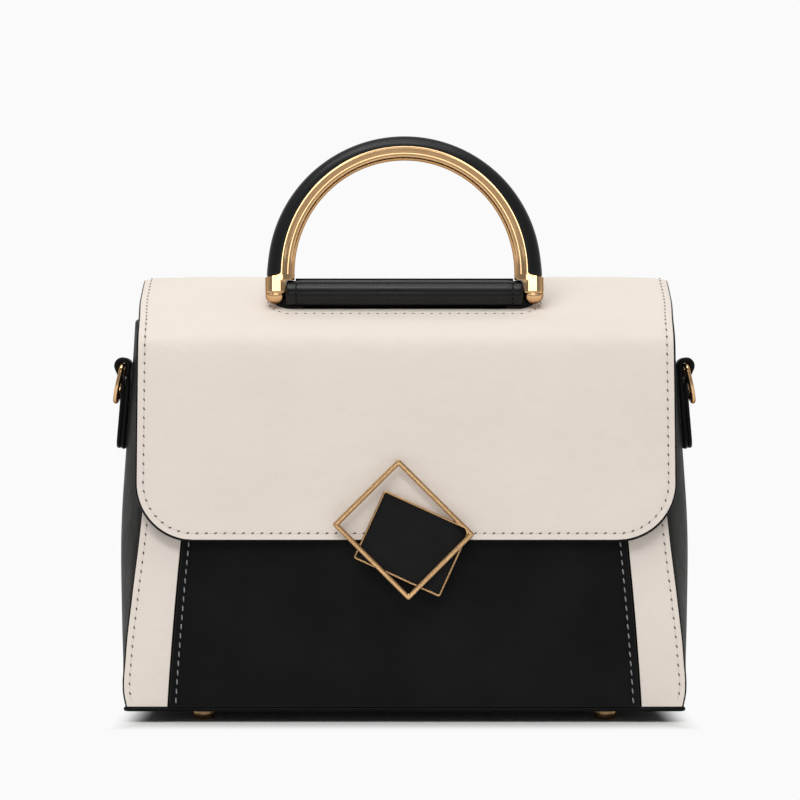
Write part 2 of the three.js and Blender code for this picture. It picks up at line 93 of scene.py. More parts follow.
# Bands of the same width that face straight to the front and the back
FLAT_BANDS = ((0.0, 0.1), (0.47, 0.58))
LEG = {
    "inner": 52.0, "notch": 56.2, "outer": 65.8, "flat": (58.5, 62.4), "flat_rise": 0.05, "notch_top": 205.3,
    "notch_round": 0.5, "notch_fillet": 1.5, "top": 208.0, "top_outside": 206.55, "groove": 198.9,
    "dome": 194.1,
}
# The groove over the leg's dome: height from its middle, size and flatness of the section
LEG_GROOVE = (
    (-0.3, 0.985, 0.0), (-0.2, 0.95, 0.0), (-0.1, 0.925, 0.2), (0.1, 0.925, 0.4), (0.2, 0.945, 0.6),
    (0.35, 0.975, 0.8), (0.6, 0.992, 1.0), (0.9, 1.0, 1.0), (1.3, 1.0, 1.0), (2.6, 1.0, 1.0),
)
GRIP = {"thickness": 1.7, "half_angle": 95.0, "less_at_top": 14.0, "drop": 0.5, "slant": 0.21, "flare": 0.5,
        "flare_run": 9.0, "soft_end": 2.6}
# The grip's rounded end: share of the soft length, share of the wall, and angle taken off each side
GRIP_END = ((0.0, 0.25, 0.55), (0.06, 0.6, 0.34), (0.16, 0.82, 0.2), (0.32, 0.94, 0.1), (0.6, 1.0, 0.03))
SLEEVE = {"radius": 6.1, "bore": 2.85, "half_length": 56.05, "neck_half_length": 48.0, "neck_front": -14.6,
          "neck_back": -10.6, "soft": 1.3, "stitch_x": 51.15}
SLEEVE_LAP = {"radius": 7.5, "half_length": 51.6, "from": -20.0, "to": 76.0}

CLASP = {"x": -0.5, "z": 88.4}
CLASP_FRAME = {"along": 49.8, "across": 43.4, "band": 2.35, "turn": -45.0, "corner": 1.2, "x": 0.0, "y": 0.0,
               "from": 2.6, "to": 4.5}
CLASP_PLATE = {"along": 43.8, "across": 34.6, "rim": 0.9, "turn": -24.5, "corner": (3.4, 1.2, 1.2, 1.2),
               "x": 3.9, "y": -6.4, "from": 0.8, "to": 2.7}
CLASP_FLOOR = 1.4
CLASP_INLAY = {"from": 1.7, "to": 2.3}
CLASP_BOSS = {"radius": 6.0, "y": 6.0, "to": 1.0}

TAB = {"half_width": 8.2, "layers": 4.1, "bottom": 125.0, "neck": 160.0, "loop_radius": 4.05, "bore": 1.45,
       "corner": 4.0}
RING = {"x": 134.1, "z": 164.9, "wire": 1.2, "half_width": 10.0, "straight": 7.3, "corner": 2.5, "lean": 12.5}

# Distances from a sewn edge at which a sheet has a line of points
EDGE_STEPS = np.array([0, 0.35, 0.8, 1.3, 1.8, 2.3, 2.8, 3.3, 3.8, 4.4, 5.2, 6.4, 8.2])
STITCH_PITCH = 4.3
STITCH_INSET = 3.1
STRIP_STITCH_INSET = 3.4
BACK_STITCH_INSET = 3.6
FLAP_STITCH_INSET = 4.0
DENT_WIDTH = 0.9
# A needle hole, drawn as a small dark dash of painted shade: half length, half width, height and how far it
# is sunk, and its turn from the stitch
HOLE_SIZE = (0.72, 0.33, 0.14, 0.02)
HOLE_TURN = 0.25
SLOT_STITCH = {"straight": 53.5, "end": 11.5, "middle": -5.5, "run": 16.0, "back_grow": 2.2}

# The factors that turn a right-hand shape into the one on each side
SIDES = {"right": np.array([1, 1, 1]), "left": np.array([-1, 1, 1])}


# Curves

def smooth(places, values):
    """A smooth curve through a table, as a function."""
    slopes = np.gradient(values, places)

    def at(place):
        place = np.asarray(place, float)
        i = np.clip(np.searchsorted(places, place) - 1, 0, len(places) - 2)
        run = places[i + 1] - places[i]
        p = (place - places[i]) / run
        return (
            values[i] * (1 + 2 * p) * (1 - p) ** 2
            + values[i + 1] * p * p * (3 - 2 * p)
            + slopes[i] * run * p * (1 - p) ** 2
            - slopes[i + 1] * run * p * p * (1 - p)
        )

    return at


edge_at, seam_at, side_at, depth_at = (smooth(SECTION_Z, row) for row in (EDGE, SEAM, SIDE, DEPTH))


def through(points, count):
    """Points along a smooth curve through a short list of points."""
    points = np.asarray(points, float)
    last = len(points) - 1
    s = np.linspace(0, last, count)
    i = np.minimum(s.astype(int), last - 1)
    w = (s - i)[:, None]
    before, here = points[np.maximum(i - 1, 0)], points[i]
    there, after = points[i + 1], points[np.minimum(i + 2, last)]
    out, back = (there - before) / 2, (after - here) / 2
    return (
        (2 * here - 2 * there + out + back) * w ** 3
        + (3 * there - 3 * here - 2 * out - back) * w ** 2
        + out * w
        + here
    )


def together(*values):
    """Points, or faces, from their separate columns."""
    return np.stack(np.broadcast_arrays(*values), axis=-1)


def lengths(points):
    """The distance run at each point of a line."""
    steps = np.linalg.norm(np.diff(points, axis=0), axis=1)
    return np.concatenate([[0], np.cumsum(steps)])


def at_run(s, run, line):
    """The points of a line at distances run along it."""
    return together(*(np.interp(s, run, values) for values in line.T))


def unit(vectors):
    return vectors / np.maximum(np.linalg.norm(vectors, axis=-1, keepdims=True), 1e-12)


def circle(count):
    return 2 * np.pi * np.arange(count) / count


def quarter(count):
    return np.linspace(0, np.pi / 2, count)


def symmetric(half):
    """A row of places from the middle outwards, with the same to the other side."""
    return np.concatenate([-half[:0:-1], half])


def eased(place, low, high):
    """A smooth rise from 0 at a low place to 1 at a high one."""
    share = np.clip((place - low) / (high - low), 0, 1)
    return share * share * (3 - 2 * share)


def graded(length, step):
    """Places along a length: close together at its two sewn edges, a step apart between them."""
    low, high = EDGE_STEPS[-1], length - EDGE_STEPS[-1]
    count = max(1, round((high - low) / step))
    return np.concatenate([EDGE_STEPS, np.linspace(low, high, count + 1)[1:-1], length - EDGE_STEPS[::-1]])


def flat_grid(rows, columns):
    """All pairs of a row's and a column's place, row by row."""
    return (grid.ravel() for grid in np.meshgrid(rows, columns, indexing="ij"))


# Meshes

def grid_faces(rows, columns):
    r, c = np.meshgrid(np.arange(rows - 1), np.arange(columns - 1), indexing="ij")
    a = (r * columns + c).ravel()
    return together(a, a + 1, a + 1 + columns, a + columns)


def add_object(name, data):
    obj = bpy.data.objects.new(name, data)
    bpy.context.scene.collection.objects.link(obj)
    return obj


def smooth_mesh(name, points, faces, finishes):
    mesh = bpy.data.meshes.new(name)
    mesh.from_pydata(points, [], faces)
    for finish in finishes:
        mesh.materials.append(finish)
    mesh.polygons.foreach_set("use_smooth", np.ones(len(mesh.polygons), bool))
    return mesh


def make(name, points, faces, finishes, parts=None):
    """A smooth mesh object from points in millimetres. Parts number each face's finish."""
    placed = (np.asarray(points, float) + (0, SET_BACK, 0)) * MM
    mesh = smooth_mesh(name, placed.tolist(), [list(map(int, f)) for f in faces], finishes)
    if parts is not None:
        mesh.polygons.foreach_set("material_index", np.asarray(parts, np.int32))
    mesh.update()
    return add_object(name, mesh)


def place(obj, body, slot, *nodes):
    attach(obj, body)
    if nodes:
        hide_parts(*nodes)


def weld(points, faces):
    """Joins points that lie in the same place."""
    _, first, index = np.unique(np.round(points, 4), axis=0, return_index=True, return_inverse=True)
    return points[first], index.ravel()[faces]


def vertex_normals(points, faces):
    normals = np.zeros_like(points)
    across = np.cross(points[faces[:, 2]] - points[faces[:, 0]], points[faces[:, 3]] - points[faces[:, 1]])
    for corner in range(4):
        np.add.at(normals, faces[:, corner], across)
    return unit(normals)


def edge_loops(faces):
    """The open edges of a sheet as loops of points, with the sheet on the left."""
    edges = np.concatenate([faces[:, [k, (k + 1) % 4]] for k in range(4)])
    known = set(map(tuple, edges.tolist()))
    following = {a: b for a, b in known if (b, a) not in known}
    loops = []
    while following:
        start, here = next(iter(following.items()))
        loop = [start]
        del following[start]
        while here != start:
            loop.append(here)
            here = following.pop(here)
        loops.append(np.array(loop))
    return loops


def distance_to(points, line):
    """How far each point lies from a line of points."""
    best = np.full(len(points), np.inf)
    for a, b in zip(line[:-1], line[1:]):
        run = b - a
        t = np.clip(((points - a) @ run) / max(run @ run, 1e-12), 0, 1)
        best = np.minimum(best, np.linalg.norm(points - a - t[:, None] * run, axis=1))
    return best


def shell(name, points, faces, wall, bulge, finishes, dents=(), slot="black_leather", hole_bulge=0.0,
          solid=True):
    """A sheet of leather on the bag with a wall and rounded edges. It replaces the solid of its name, if any.
    Finishes are its face, its edge and its inside. The edge of a hole in it has the face's finish.
    Dents are (line of points, width, depth) pressed into the face."""
    rim_steps = 8
    points = np.asarray(points, float)
    wall = np.broadcast_to(np.reshape(wall, (-1, 1)), (len(points), 1))
    normals = vertex_normals(points, faces)
    face_points = points.copy()
    for line, width, depth in dents:
        face_points -= normals * (depth * np.exp(-(distance_to(points, line) / width) ** 2))[:, None]
    count = len(points)
    layers = [face_points, points - normals * wall]
    all_faces = [faces, faces[:, ::-1] + count]
    parts = [np.zeros(len(faces)), np.full(len(faces), 2)]
    base = 2 * count
    loops = sorted(edge_loops(faces), key=lambda loop: -lengths(points[loop])[-1])
    for loop, (swell, finish) in zip(loops, ((bulge, 1), (hole_bulge, 0))):
        here, n = points[loop], normals[loop]
        ahead = unit(np.roll(here, -1, axis=0) - here)
        sides = unit(np.cross(ahead, n))
        both = sides + np.roll(sides, 1, axis=0)
        out = both / np.maximum((both * both).sum(1, keepdims=True) / 2, 0.8)
        turns = np.pi * np.arange(1, rim_steps) / rim_steps
        layers += [here + out * swell * math.sin(a) - n * wall[loop] * (1 - math.cos(a)) / 2 for a in turns]
        m = len(loop)
        index = [loop] + [base + k * m + np.arange(m) for k in range(rim_steps - 1)] + [loop + count]
        for near, far in zip(index[:-1], index[1:]):
            all_faces.append(together(np.roll(near, -1), near, far, np.roll(far, -1)))
            parts.append(np.full(m, finish))
        base += m * (rim_steps - 1)
    points, faces, parts = map(np.concatenate, (layers, all_faces, parts))
    nodes = [name] if solid else []
    place(make(name + "_leather", points, faces, finishes, parts), "bag", slot, *nodes)


def tube_faces(rings, around, closed):
    """Faces of a tube of rings, capped at both ends unless its last ring is joined to its first."""
    faces = []
    for k in range(rings if closed else rings - 1):
        a = k * around + np.arange(around)
        b = ((k + 1) % rings) * around + np.arange(around)
        faces += together(a, np.roll(a, -1), np.roll(b, -1), b).tolist()
    if not closed:
        faces.append(list(range(around))[::-1])
        faces.append(list(range((rings - 1) * around, rings * around)))
    return faces


def facing_out(points, faces):
    """Turns the faces of a closed mesh round if they face inwards."""
    volume = 0.0
    for f in faces:
        p = points[f]
        for k in range(1, len(f) - 1):
            volume += p[0] @ np.cross(p[k], p[k + 1])
    return [f[::-1] for f in faces] if volume < 0 else faces


def tube(name, rings, finish, closed=False):
    """A tube through rings of points, capped at both ends unless it closes on itself."""
    rings = np.asarray(rings, float)
    points = rings.reshape(-1, 3)
    return make(name, points, facing_out(points, tube_faces(*rings.shape[:2], closed)), [finish])


def sharpen(obj, degrees=38):
    obj.data.set_sharp_from_angle(angle=math.radians(degrees))
    return obj


def carve(obj, cutter):
    """Cuts one closed mesh out of another."""
    modifier = obj.modifiers.new("cut", "BOOLEAN")
    modifier.operation = "DIFFERENCE"
    modifier.solver = "EXACT"
    modifier.object = cutter
    result = bpy.data.meshes.new_from_object(obj.evaluated_get(bpy.context.evaluated_depsgraph_get()))
    obj.modifiers.clear()
    obj.data = result
    bpy.data.objects.remove(cutter)


# Stitches

def spaced(line, pitch):
    """Places on a line, evenly spaced and about a pitch apart, with the direction of the line there."""
    run = lengths(line)
    count = max(2, round(run[-1] / pitch))
    middles = (np.arange(count) + 0.5) * run[-1] / count
    ahead, behind = (at_run(middles + step, run, line) for step in (0.4, -0.4))
    return at_run(middles, run, line), unit(ahead - behind)


def grains(name, centres, along, out, half_length, half_width, height, sunk, slant, finish):
    """Many small rounded dashes as one mesh, each lying along its direction and turned by a slant."""
    around, rings = 8, 7
    side = unit(np.cross(out, along))
    along = unit(np.cross(side, out))
    turned = along * math.cos(slant) + side * math.sin(slant)
    side = unit(np.cross(out, turned))
    dash = tube_faces(rings, around, False)
    a = circle(around)
    points, faces = [], []
    for number, (c, t, s, o) in enumerate(zip(centres, turned, side, out)):
        for b in np.pi * (np.arange(rings) + 0.5) / rings:
            swell = math.sin(b) ** 0.6
            centre = c - o * sunk - t * half_length * math.cos(b)
            across = np.outer(np.cos(a) * half_width * swell, s)
            points.append(centre + across + np.outer(np.sin(a) * height * swell, o))
        faces += [[number * rings * around + k for k in f] for f in dash]
    return make(name, np.concatenate(points), faces, [finish])


def row_of_stitches(name, line, out, finish, slot="black_leather", pitch=STITCH_PITCH, thread_share=0.74,
                    width=0.36, slant=0.12, hole=None):
    """Thread dashes along a line, each between two needle holes. Given a hole finish, each hole's shade is
    painted as a dark dash.
    """
    centres, along = spaced(line, pitch)
    normals = unit(np.array([out(p) for p in centres]))
    half = pitch * thread_share / 2
    stitches = grains(name, centres, along, normals, half, width, width * 0.8, width * 0.5, slant, finish)
    place(stitches, "bag", slot)
    # Painted shade: a dark dash at each needle hole, in the hole finish.
    if hole:
        ends = centres + along * pitch / 2
        dark = grains(name + "_hole_shades", ends, along, normals, *HOLE_SIZE, slant + HOLE_TURN, hole)
        place(dark, "bag", slot)


def cream_stitches(name, line, out):
    row_of_stitches(name, line, out, CREAM_THREAD, slot="cream_leather", width=0.3, hole=HOLE_SHADE)


# Materials

def connect(tree, node, values):
    """Sets a node's inputs to values, or links them to the outputs of other nodes."""
    for key, value in values.items():
        if isinstance(value, bpy.types.NodeSocket):
            tree.links.new(value, node.inputs[key])
        else:
            node.inputs[key].default_value = value


def add_node(tree, kind, values=None, **settings):
    node = tree.nodes.new("ShaderNode" + kind)
    for key, value in settings.items():
        setattr(node, key, value)
    connect(tree, node, values or {})
    return node


def noise(tree, where, scale, detail, roughness=0.5):
    values = {"Vector": where, "Scale": scale, "Detail": detail, "Roughness": roughness}
    return add_node(tree, "TexNoise", values).outputs["Fac"]


def bump(tree, height, strength, distance, **under):
    values = {"Height": height, "Strength": strength, "Distance": distance, **under}
    return add_node(tree, "Bump", values).outputs["Normal"]


def map_range(tree, source, from_low, from_high, low=0.0, high=1.0, **settings):
    values = {"Value": source, "From Min": from_low, "From Max": from_high, "To Min": low, "To Max": high}
    return add_node(tree, "MapRange", values, **settings).outputs["Result"]


def spread(tree, source, low, high):
    """Maps a texture's middle values onto a range."""
    return map_range(tree, source, 0.3, 0.7, low, high)


def new_material(name, roughness, tones, scale, metallic=0.0, specular=0.5):
    """A material coloured between two near tones, with its nodes, its shader and the place on the surface."""
    material = bpy.data.materials.new(name)
    material.use_nodes = True
    tree = material.node_tree
    shader = tree.nodes["Principled BSDF"]
    where = add_node(tree, "TexCoord").outputs["Object"]
    share = spread(tree, noise(tree, where, scale, 5.0, 0.55), 0.0, 1.0)
    first, second = [(*tone, 1) for tone in tones]
    mix = add_node(tree, "Mix", {"A": first, "B": second, "Factor": share}, data_type="RGBA")
    connect(tree, shader, {"Roughness": roughness, "Metallic": metallic, "Specular IOR Level": specular,
                           "Base Color": mix.outputs["Result"]})
    return material, tree, shader, where


def leather(name, tones, roughness, specular, grain=0.0009, creased=3.0, soft=0.0):
    """Coated leather: a fine pebble grain with pores, soft creases, and gentle changes of tone and gloss."""
    material, tree, shader, where = new_material(name, roughness, tones, 24.0, specular=specular)
    depth = 0.00003
    gloss = noise(tree, where, 60.0, 4.0)
    pebbles = add_node(tree, "TexVoronoi", {"Vector": where, "Scale": 1 / grain, "Randomness": 1.0},
                       feature="SMOOTH_F1")
    pores = noise(tree, where, 3.2 / grain, 3.0)
    creases = bump(tree, noise(tree, where, 0.09 / grain, 3.0), 0.5, depth * creased)
    fine = add_node(tree, "Math", {0: pores, 1: 0.35, 2: pebbles.outputs["Distance"]},
                    operation="MULTIPLY_ADD")
    connect(tree, shader, {
        "Roughness": spread(tree, gloss, roughness - 0.05, roughness + 0.06),
        "Normal": bump(tree, fine.outputs["Value"], 0.5, depth, Normal=creases),
        "Sheen Weight": soft,
    })
    return material


def edge_finish(name, tones, roughness, specular):
    """Paint on a cut edge, or the cut edge itself, slightly uneven."""
    material, tree, shader, where = new_material(name, roughness, tones, 160.0, specular=specular)
    connect(tree, shader, {"Normal": bump(tree, noise(tree, where, 420.0, 3.0), 0.5, 0.0001)})
    return material


def metal(name, tones, roughness):
    """Gold-plated metal with faint wipe marks. Its tint deepens towards grazing angles."""
    material, tree, shader, where = new_material(name, roughness, tones, 45.0, metallic=1.0)
    connect(tree, shader, {
        "Specular Tint": (0.14, 0.065, 0.025, 1),
        "Roughness": spread(tree, noise(tree, where, 130.0, 5.0, 0.6), roughness - 0.03, roughness + 0.05),
        "Normal": bump(tree, noise(tree, where, 1800.0, 2.0), 0.3, 0.0000016),
    })
    return material


def thread(name, tones):
    """Twisted sewing thread."""
    material, tree, shader, where = new_material(name, 0.65, tones, 300.0, specular=0.3)
    twist = add_node(tree, "TexWave", {"Vector": where, "Scale": 900.0, "Distortion": 1.5},
                     bands_direction="DIAGONAL")
    connect(tree, shader, {"Normal": bump(tree, twist.outputs["Fac"], 0.6, 0.00008)})
    return material


CREAM = leather("cream_leather", ((0.82, 0.742, 0.672), (0.795, 0.715, 0.642)), 0.5, 0.3, creased=40.0)
BLACK = leather("black_leather", ((0.0034, 0.0037, 0.0041), (0.0074, 0.0076, 0.008)), 0.45, 0.08,
                creased=22.0)
ROLL_BLACK = leather("roll_leather", ((0.004, 0.0042, 0.0045), (0.0055, 0.0057, 0.006)), 0.3, 0.27)
# Near-black, matt leather for the patch under the slot and the roll's neck: black leather made darker still,
# partly its own black and partly painted shade of the slot.
SHADE = leather("slot_painted_shade", ((0.002, 0.002, 0.002), (0.003, 0.003, 0.003)), 0.7, 0.03)
GRIP_BLACK = leather("grip_leather", ((0.006, 0.0065, 0.007), (0.008, 0.0085, 0.009)), 0.36, 0.25)
GUSSET_BLACK = leather("gusset_leather", ((0.012, 0.012, 0.0102), (0.0145, 0.0145, 0.0125)), 0.55, 0.1,
                       creased=40.0)
SUEDE = leather("suede_inside", ((0.012, 0.012, 0.012), (0.02, 0.02, 0.02)), 0.9, 0.1, grain=0.0006, soft=0.2)
PAINT = edge_finish("edge_paint", ((0.005, 0.005, 0.005), (0.008, 0.0075, 0.007)), 0.45, 0.1)
RAW_EDGE = edge_finish("raw_edge", ((0.014, 0.013, 0.0115), (0.009, 0.0085, 0.0075)), 0.6, 0.2)
CREAM_THREAD = thread("cream_thread", ((0.79, 0.71, 0.64), (0.74, 0.66, 0.59)))
GREY_THREAD = thread("grey_thread", ((0.33, 0.33, 0.34), (0.19, 0.19, 0.20)))
BLACK_THREAD = thread("black_thread", ((0.008, 0.008, 0.009), (0.014, 0.014, 0.015)))
# Needle holes in the cream leather: a brownish dark, the painted shade inside each hole.
HOLE_SHADE = edge_finish("needle_hole_shade", ((0.15, 0.12, 0.095), (0.09, 0.07, 0.055)), 0.9, 0.05)
GOLD = metal("gold_polished", ((0.775, 0.5, 0.262), (0.725, 0.46, 0.236)), 0.11)
SATIN_GOLD = metal("gold_satin", ((0.57, 0.357, 0.178), (0.52, 0.32, 0.155)), 0.27)
BRONZE = metal("gold_foot", ((0.55, 0.36, 0.19), (0.48, 0.31, 0.16)), 0.3)
ENAMEL = edge_finish("black_enamel", ((0.0085, 0.0085, 0.009), (0.0105, 0.0105, 0.011)), 0.42, 0.08)


# Body panels

def panel_reach(x, z):
    upwards = np.maximum(0, np.sin(np.pi * (z - BODY_BOTTOM) / (FRONT_TOP - BODY_BOTTOM)))
    return depth_at(z) + BELLY * (1 - (x / edge_at(z)) ** 2) * upwards


def panel_face(facing, offset):
    """A panel's face as a function of x and z. It faces the front, -1, or the back, 1."""
    return lambda x, z: together(x, facing * panel_reach(x, z) + offset, z)


def panel_out(facing):
    return lambda point: (0, facing, 0.12)


def panel_sheet(low, high, width, step, left, right, face):
    """A panel's points and faces between two heights. left and right give x at a height."""
    rows = low + graded(high - low, 3.5)
    columns = graded(width, step) / width
    z, u = flat_grid(rows, columns)
    return face(left(z) + (right(z) - left(z)) * u, z), grid_faces(len(rows), len(columns))


def side_seam(edge, inset, low, high, face):
    """A stitch line up a panel, an inset in from its edge, and the same on the left."""
    heights = np.linspace(low, high, 90)
    line = face(edge(heights) - inset, heights)
    return {side: line * flip for side, flip in SIDES.items()}


def pressed(lines, depth):
    """The dents that stitch lines press into a panel."""
    return [(line[::6], DENT_WIDTH, depth) for line in lines]


def front():
    bulge = 0.5
    face = panel_face(-1, -LAP)
    points, faces = panel_sheet(BODY_BOTTOM + bulge, FRONT_TOP - bulge, 2 * SEAM.mean(), 4.0,
                                lambda z: bulge - seam_at(z), lambda z: seam_at(z) - bulge, face)
    seams = side_seam(seam_at, STITCH_INSET, BODY_BOTTOM + 1, FRONT_TOP - 4, face)
    shell("front_panel", points, faces, LAP + PANEL_WALL, bulge, [BLACK, RAW_EDGE, SUEDE],
          pressed(seams.values(), 0.22))
    for side, seam in seams.items():
        row_of_stitches(f"front_seam_{side}", seam + (0, -0.02, 0), panel_out(-1), GREY_THREAD, slant=0.1,
                        width=0.34, thread_share=0.6)


def strips():
    bulge = 0.8
    face = panel_face(-1, 0.0)
    points, faces = panel_sheet(BODY_BOTTOM + 0.25, FRONT_TOP - bulge, STRIP_WIDTH, 3.0,
                                lambda z: seam_at(z) + bulge, lambda z: edge_at(z) - bulge, face)
    seams = side_seam(edge_at, STRIP_STITCH_INSET, BODY_BOTTOM + 2, FRONT_TOP - 4, face)
    for side, flip in SIDES.items():
        shell(f"front_strip_{side}", points * flip, faces[:, ::flip[0]], PANEL_WALL, bulge,
              [CREAM, PAINT, SUEDE], pressed([seams[side]], 0.11), "cream_leather")
        cream_stitches(f"strip_seam_{side}", seams[side], panel_out(-1))


def back():
    bulge = 0.8
    face = panel_face(1, LAP)
    points, faces = panel_sheet(BODY_BOTTOM + bulge, BACK_TOP - bulge, 2 * EDGE.mean(), 4.0,
                                lambda z: edge_at(z) - bulge, lambda z: bulge - edge_at(z), face)
    seams = side_seam(edge_at, BACK_STITCH_INSET, BODY_BOTTOM + 2, BACK_TOP - 3, face)
    seams["foot"] = face(np.linspace(-EDGE[0] + 6, EDGE[0] - 6, 60), np.full(60, BODY_BOTTOM + 3.4))
    shell("back_panel", points, faces, PANEL_WALL, bulge, [BLACK, PAINT, SUEDE],
          pressed(seams.values(), 0.22))
    for side, seam in seams.items():
        row_of_stitches(f"back_seam_{side}", seam, panel_out(1), BLACK_THREAD, hole=PAINT)


def gussets():
    """Side walls that swell between the front and back panels."""
    bulge = 0.6
    inset = PANEL_WALL + GAP
    low = BODY_BOTTOM + bulge
    rows, columns = 61, 49
    v, u = flat_grid(np.linspace(0, 1, rows), np.linspace(0, 1, columns))
    top = FRONT_TOP + (BACK_TOP - FRONT_TOP) * u - GAP - bulge + GUSSET_CROWN * np.sin(np.pi * u)
    z = low + (top - low) * v
    reach = depth_at(z)
    y = -reach + inset + (2 * reach + LAP - 2 * inset) * u
    x = edge_at(z) - GAP + (side_at(z) - edge_at(z) + GAP) * np.sin(np.pi * u) ** 0.8
    points = together(x, y, z)
    faces = grid_faces(rows, columns)
    for side, flip in SIDES.items():
        shell(f"gusset_{side}", points * flip, faces[:, ::flip[0]], GUSSET_WALL, bulge,
              [GUSSET_BLACK, PAINT, SUEDE], slot="gusset_leather")


def rounded_rectangle(half_x, half_y, corner, per_corner=8):
    """Points round a rectangle with round corners, from its right side. corner is one radius, or four."""
    points = []
    radii = np.broadcast_to(corner, 4)
    for k, (sx, sy) in enumerate(((1, 1), (-1, 1), (-1, -1), (1, -1))):
        r = radii[k]
        for a in np.radians(np.linspace(k * 90, k * 90 + 90, per_corner + 1)):
            points.append((sx * (half_x - r) + r * math.cos(a), sy * (half_y - r) + r * math.sin(a)))
    return np.array(points)


def base():
    """The base board: a thick leather plate with a rounded edge."""
    half = BASE["thickness"] / 2
    flats = (40.0, 12.0, 3.0)
    rings = [(shrink, 0.0) for shrink in flats]
    turns = np.radians(np.linspace(-90, 90, 9))
    rings += [(half * (1 - math.cos(t)), half + half * math.sin(t)) for t in turns]
    rings += [(shrink, 2 * half) for shrink in flats[::-1]]
    loops = []
    for shrink, rise in rings:
        outline = rounded_rectangle(BASE["half_width"] - shrink, BASE["half_depth"] - shrink,
                                    max(0.6, BASE["corner"] - shrink), 6)
        loops.append(together(*outline.T, FOOT["height"] + rise))
    place(tube("base_board_leather", loops, BLACK), "bag", "black_leather", "base_panel")


def feet():
    """Studs turned on a lathe, from radius and height rows."""
    r, sole, top = FOOT["radius"], FOOT["sole"], FOOT["height"] - GAP
    dome = [(sole + (r - sole) * math.sin(a), FOOT["dome"] * (1 - math.cos(a))) for a in quarter(9)]
    rim = [(r, top - 0.35), (r - 0.12, top - 0.1), (r - 0.4, top)]
    profile = [(sole * 0.5, 0), (sole * 0.97, 0)] + dome + rim
    a = circle(48)
    for row, y in (("front", -FOOT["y"]), ("back", FOOT["y"])):
        for side, x in (("left", -FOOT["x"]), ("right", FOOT["x"])):
            rings = [together(x + r * np.cos(a), y + r * np.sin(a), z) for r, z in profile]
            foot = sharpen(tube(f"foot_{row}_{side}_stud", rings, BRONZE))
            place(foot, "bag", "gold_metal", f"foot_{row}_{side}")


# Flap

flap_points = through(FLAP_PROFILE, 2400)
flap_run = lengths(flap_points)
flap_ahead = unit(np.gradient(flap_points, axis=0))
FLAP_LENGTH = flap_run[-1]


def flap_at(s):
    """The place in y and z on the flap's line, at a distance run along it."""
    return at_run(s, flap_run, flap_points)


def flap_direction(s):
    return unit(at_run(s, flap_run, flap_ahead))


def flap_row(y):
    """The distance run along the flap's line to a place y."""
    return np.interp(y, flap_points[:, 0], flap_run)


def crest_dip(x, p):
    """How far the flap's top sinks between the handle's legs."""
    near_crest = eased(p[..., 0], CREST_DIP["from"], CREST_DIP["to"])
    near_crest = near_crest * np.clip((p[..., 1] - CREST_DIP["low"]) / CREST_DIP["rise"], 0, 1)
    across = np.exp(-(np.abs(x) / CREST_DIP["half_length"]) ** CREST_DIP["sharpness"])
    return CREST_DIP["depth"] * across * near_crest


def under_flap(x, s, deep):
    """Points at a depth under the flap's line."""
    p, along = flap_at(s), flap_direction(s)
    return together(x, p[..., 0] + along[..., 1] * deep, p[..., 1] - along[..., 0] * deep)


def on_flap(x, s):
    """Points of the flap's face. Its two ends droop a little along the top, and it widens to the back."""
    p, far = flap_at(s), np.abs(x)
    droop = sum(depth * np.clip((far - start) / run, 0, 1) ** 2 for depth, start, run in DROOP)
    shoulder = SLOT["half_length"] + 4
    beyond = np.clip((far - shoulder) / (FLAP["half_width"] - shoulder), 0, 1.05)
    flare = FLAP["flare"] * eased(p[..., 0], FLAP["flare_from"], FLAP["flare_to"])
    wide = x + np.sign(x) * flare * beyond + FLAP["wider_right"] * beyond * (x > 0)
    return under_flap(wide, s, droop * eased(p[..., 1], *DROOP_HEIGHTS) + crest_dip(x, p))


def flap_out(point):
    along = flap_direction(flap_row(point[1]))
    return np.array([0, -along[1], along[0]])


def arch(x, straight, end):
    """1 along a straight run to both sides, then round down to 0 over its end."""
    return np.sqrt(1 - np.clip((np.abs(x) - straight) / end, 0, 1) ** 2)


def slot_y(x, grow, front):
    """The slot's front or back edge in plan, grown all round."""
    shape = arch(x, SLOT_STRAIGHT, SLOT["end_radius"] + grow)
    if front:
        return SLOT["front"] + SLOT["front_run"] - (SLOT["front_run"] + grow) * shape
    return SLOT["back"] - SLOT["back_run"] + (SLOT["back_run"] + grow) * shape


def flap_columns(bulge, slot_bulge):
    """Places of the flap's lines of points across, and where the slot ends."""
    end = SLOT["half_length"] + slot_bulge
    middle = np.linspace(0, SLOT_STRAIGHT, 17)
    bend = SLOT_STRAIGHT + (end - SLOT_STRAIGHT) * np.sin(quarter(15))[1:]
    side = end + graded(FLAP["half_width"] - bulge - end, 4.0)[1:]
    return symmetric(np.concatenate([middle, bend, side])), end


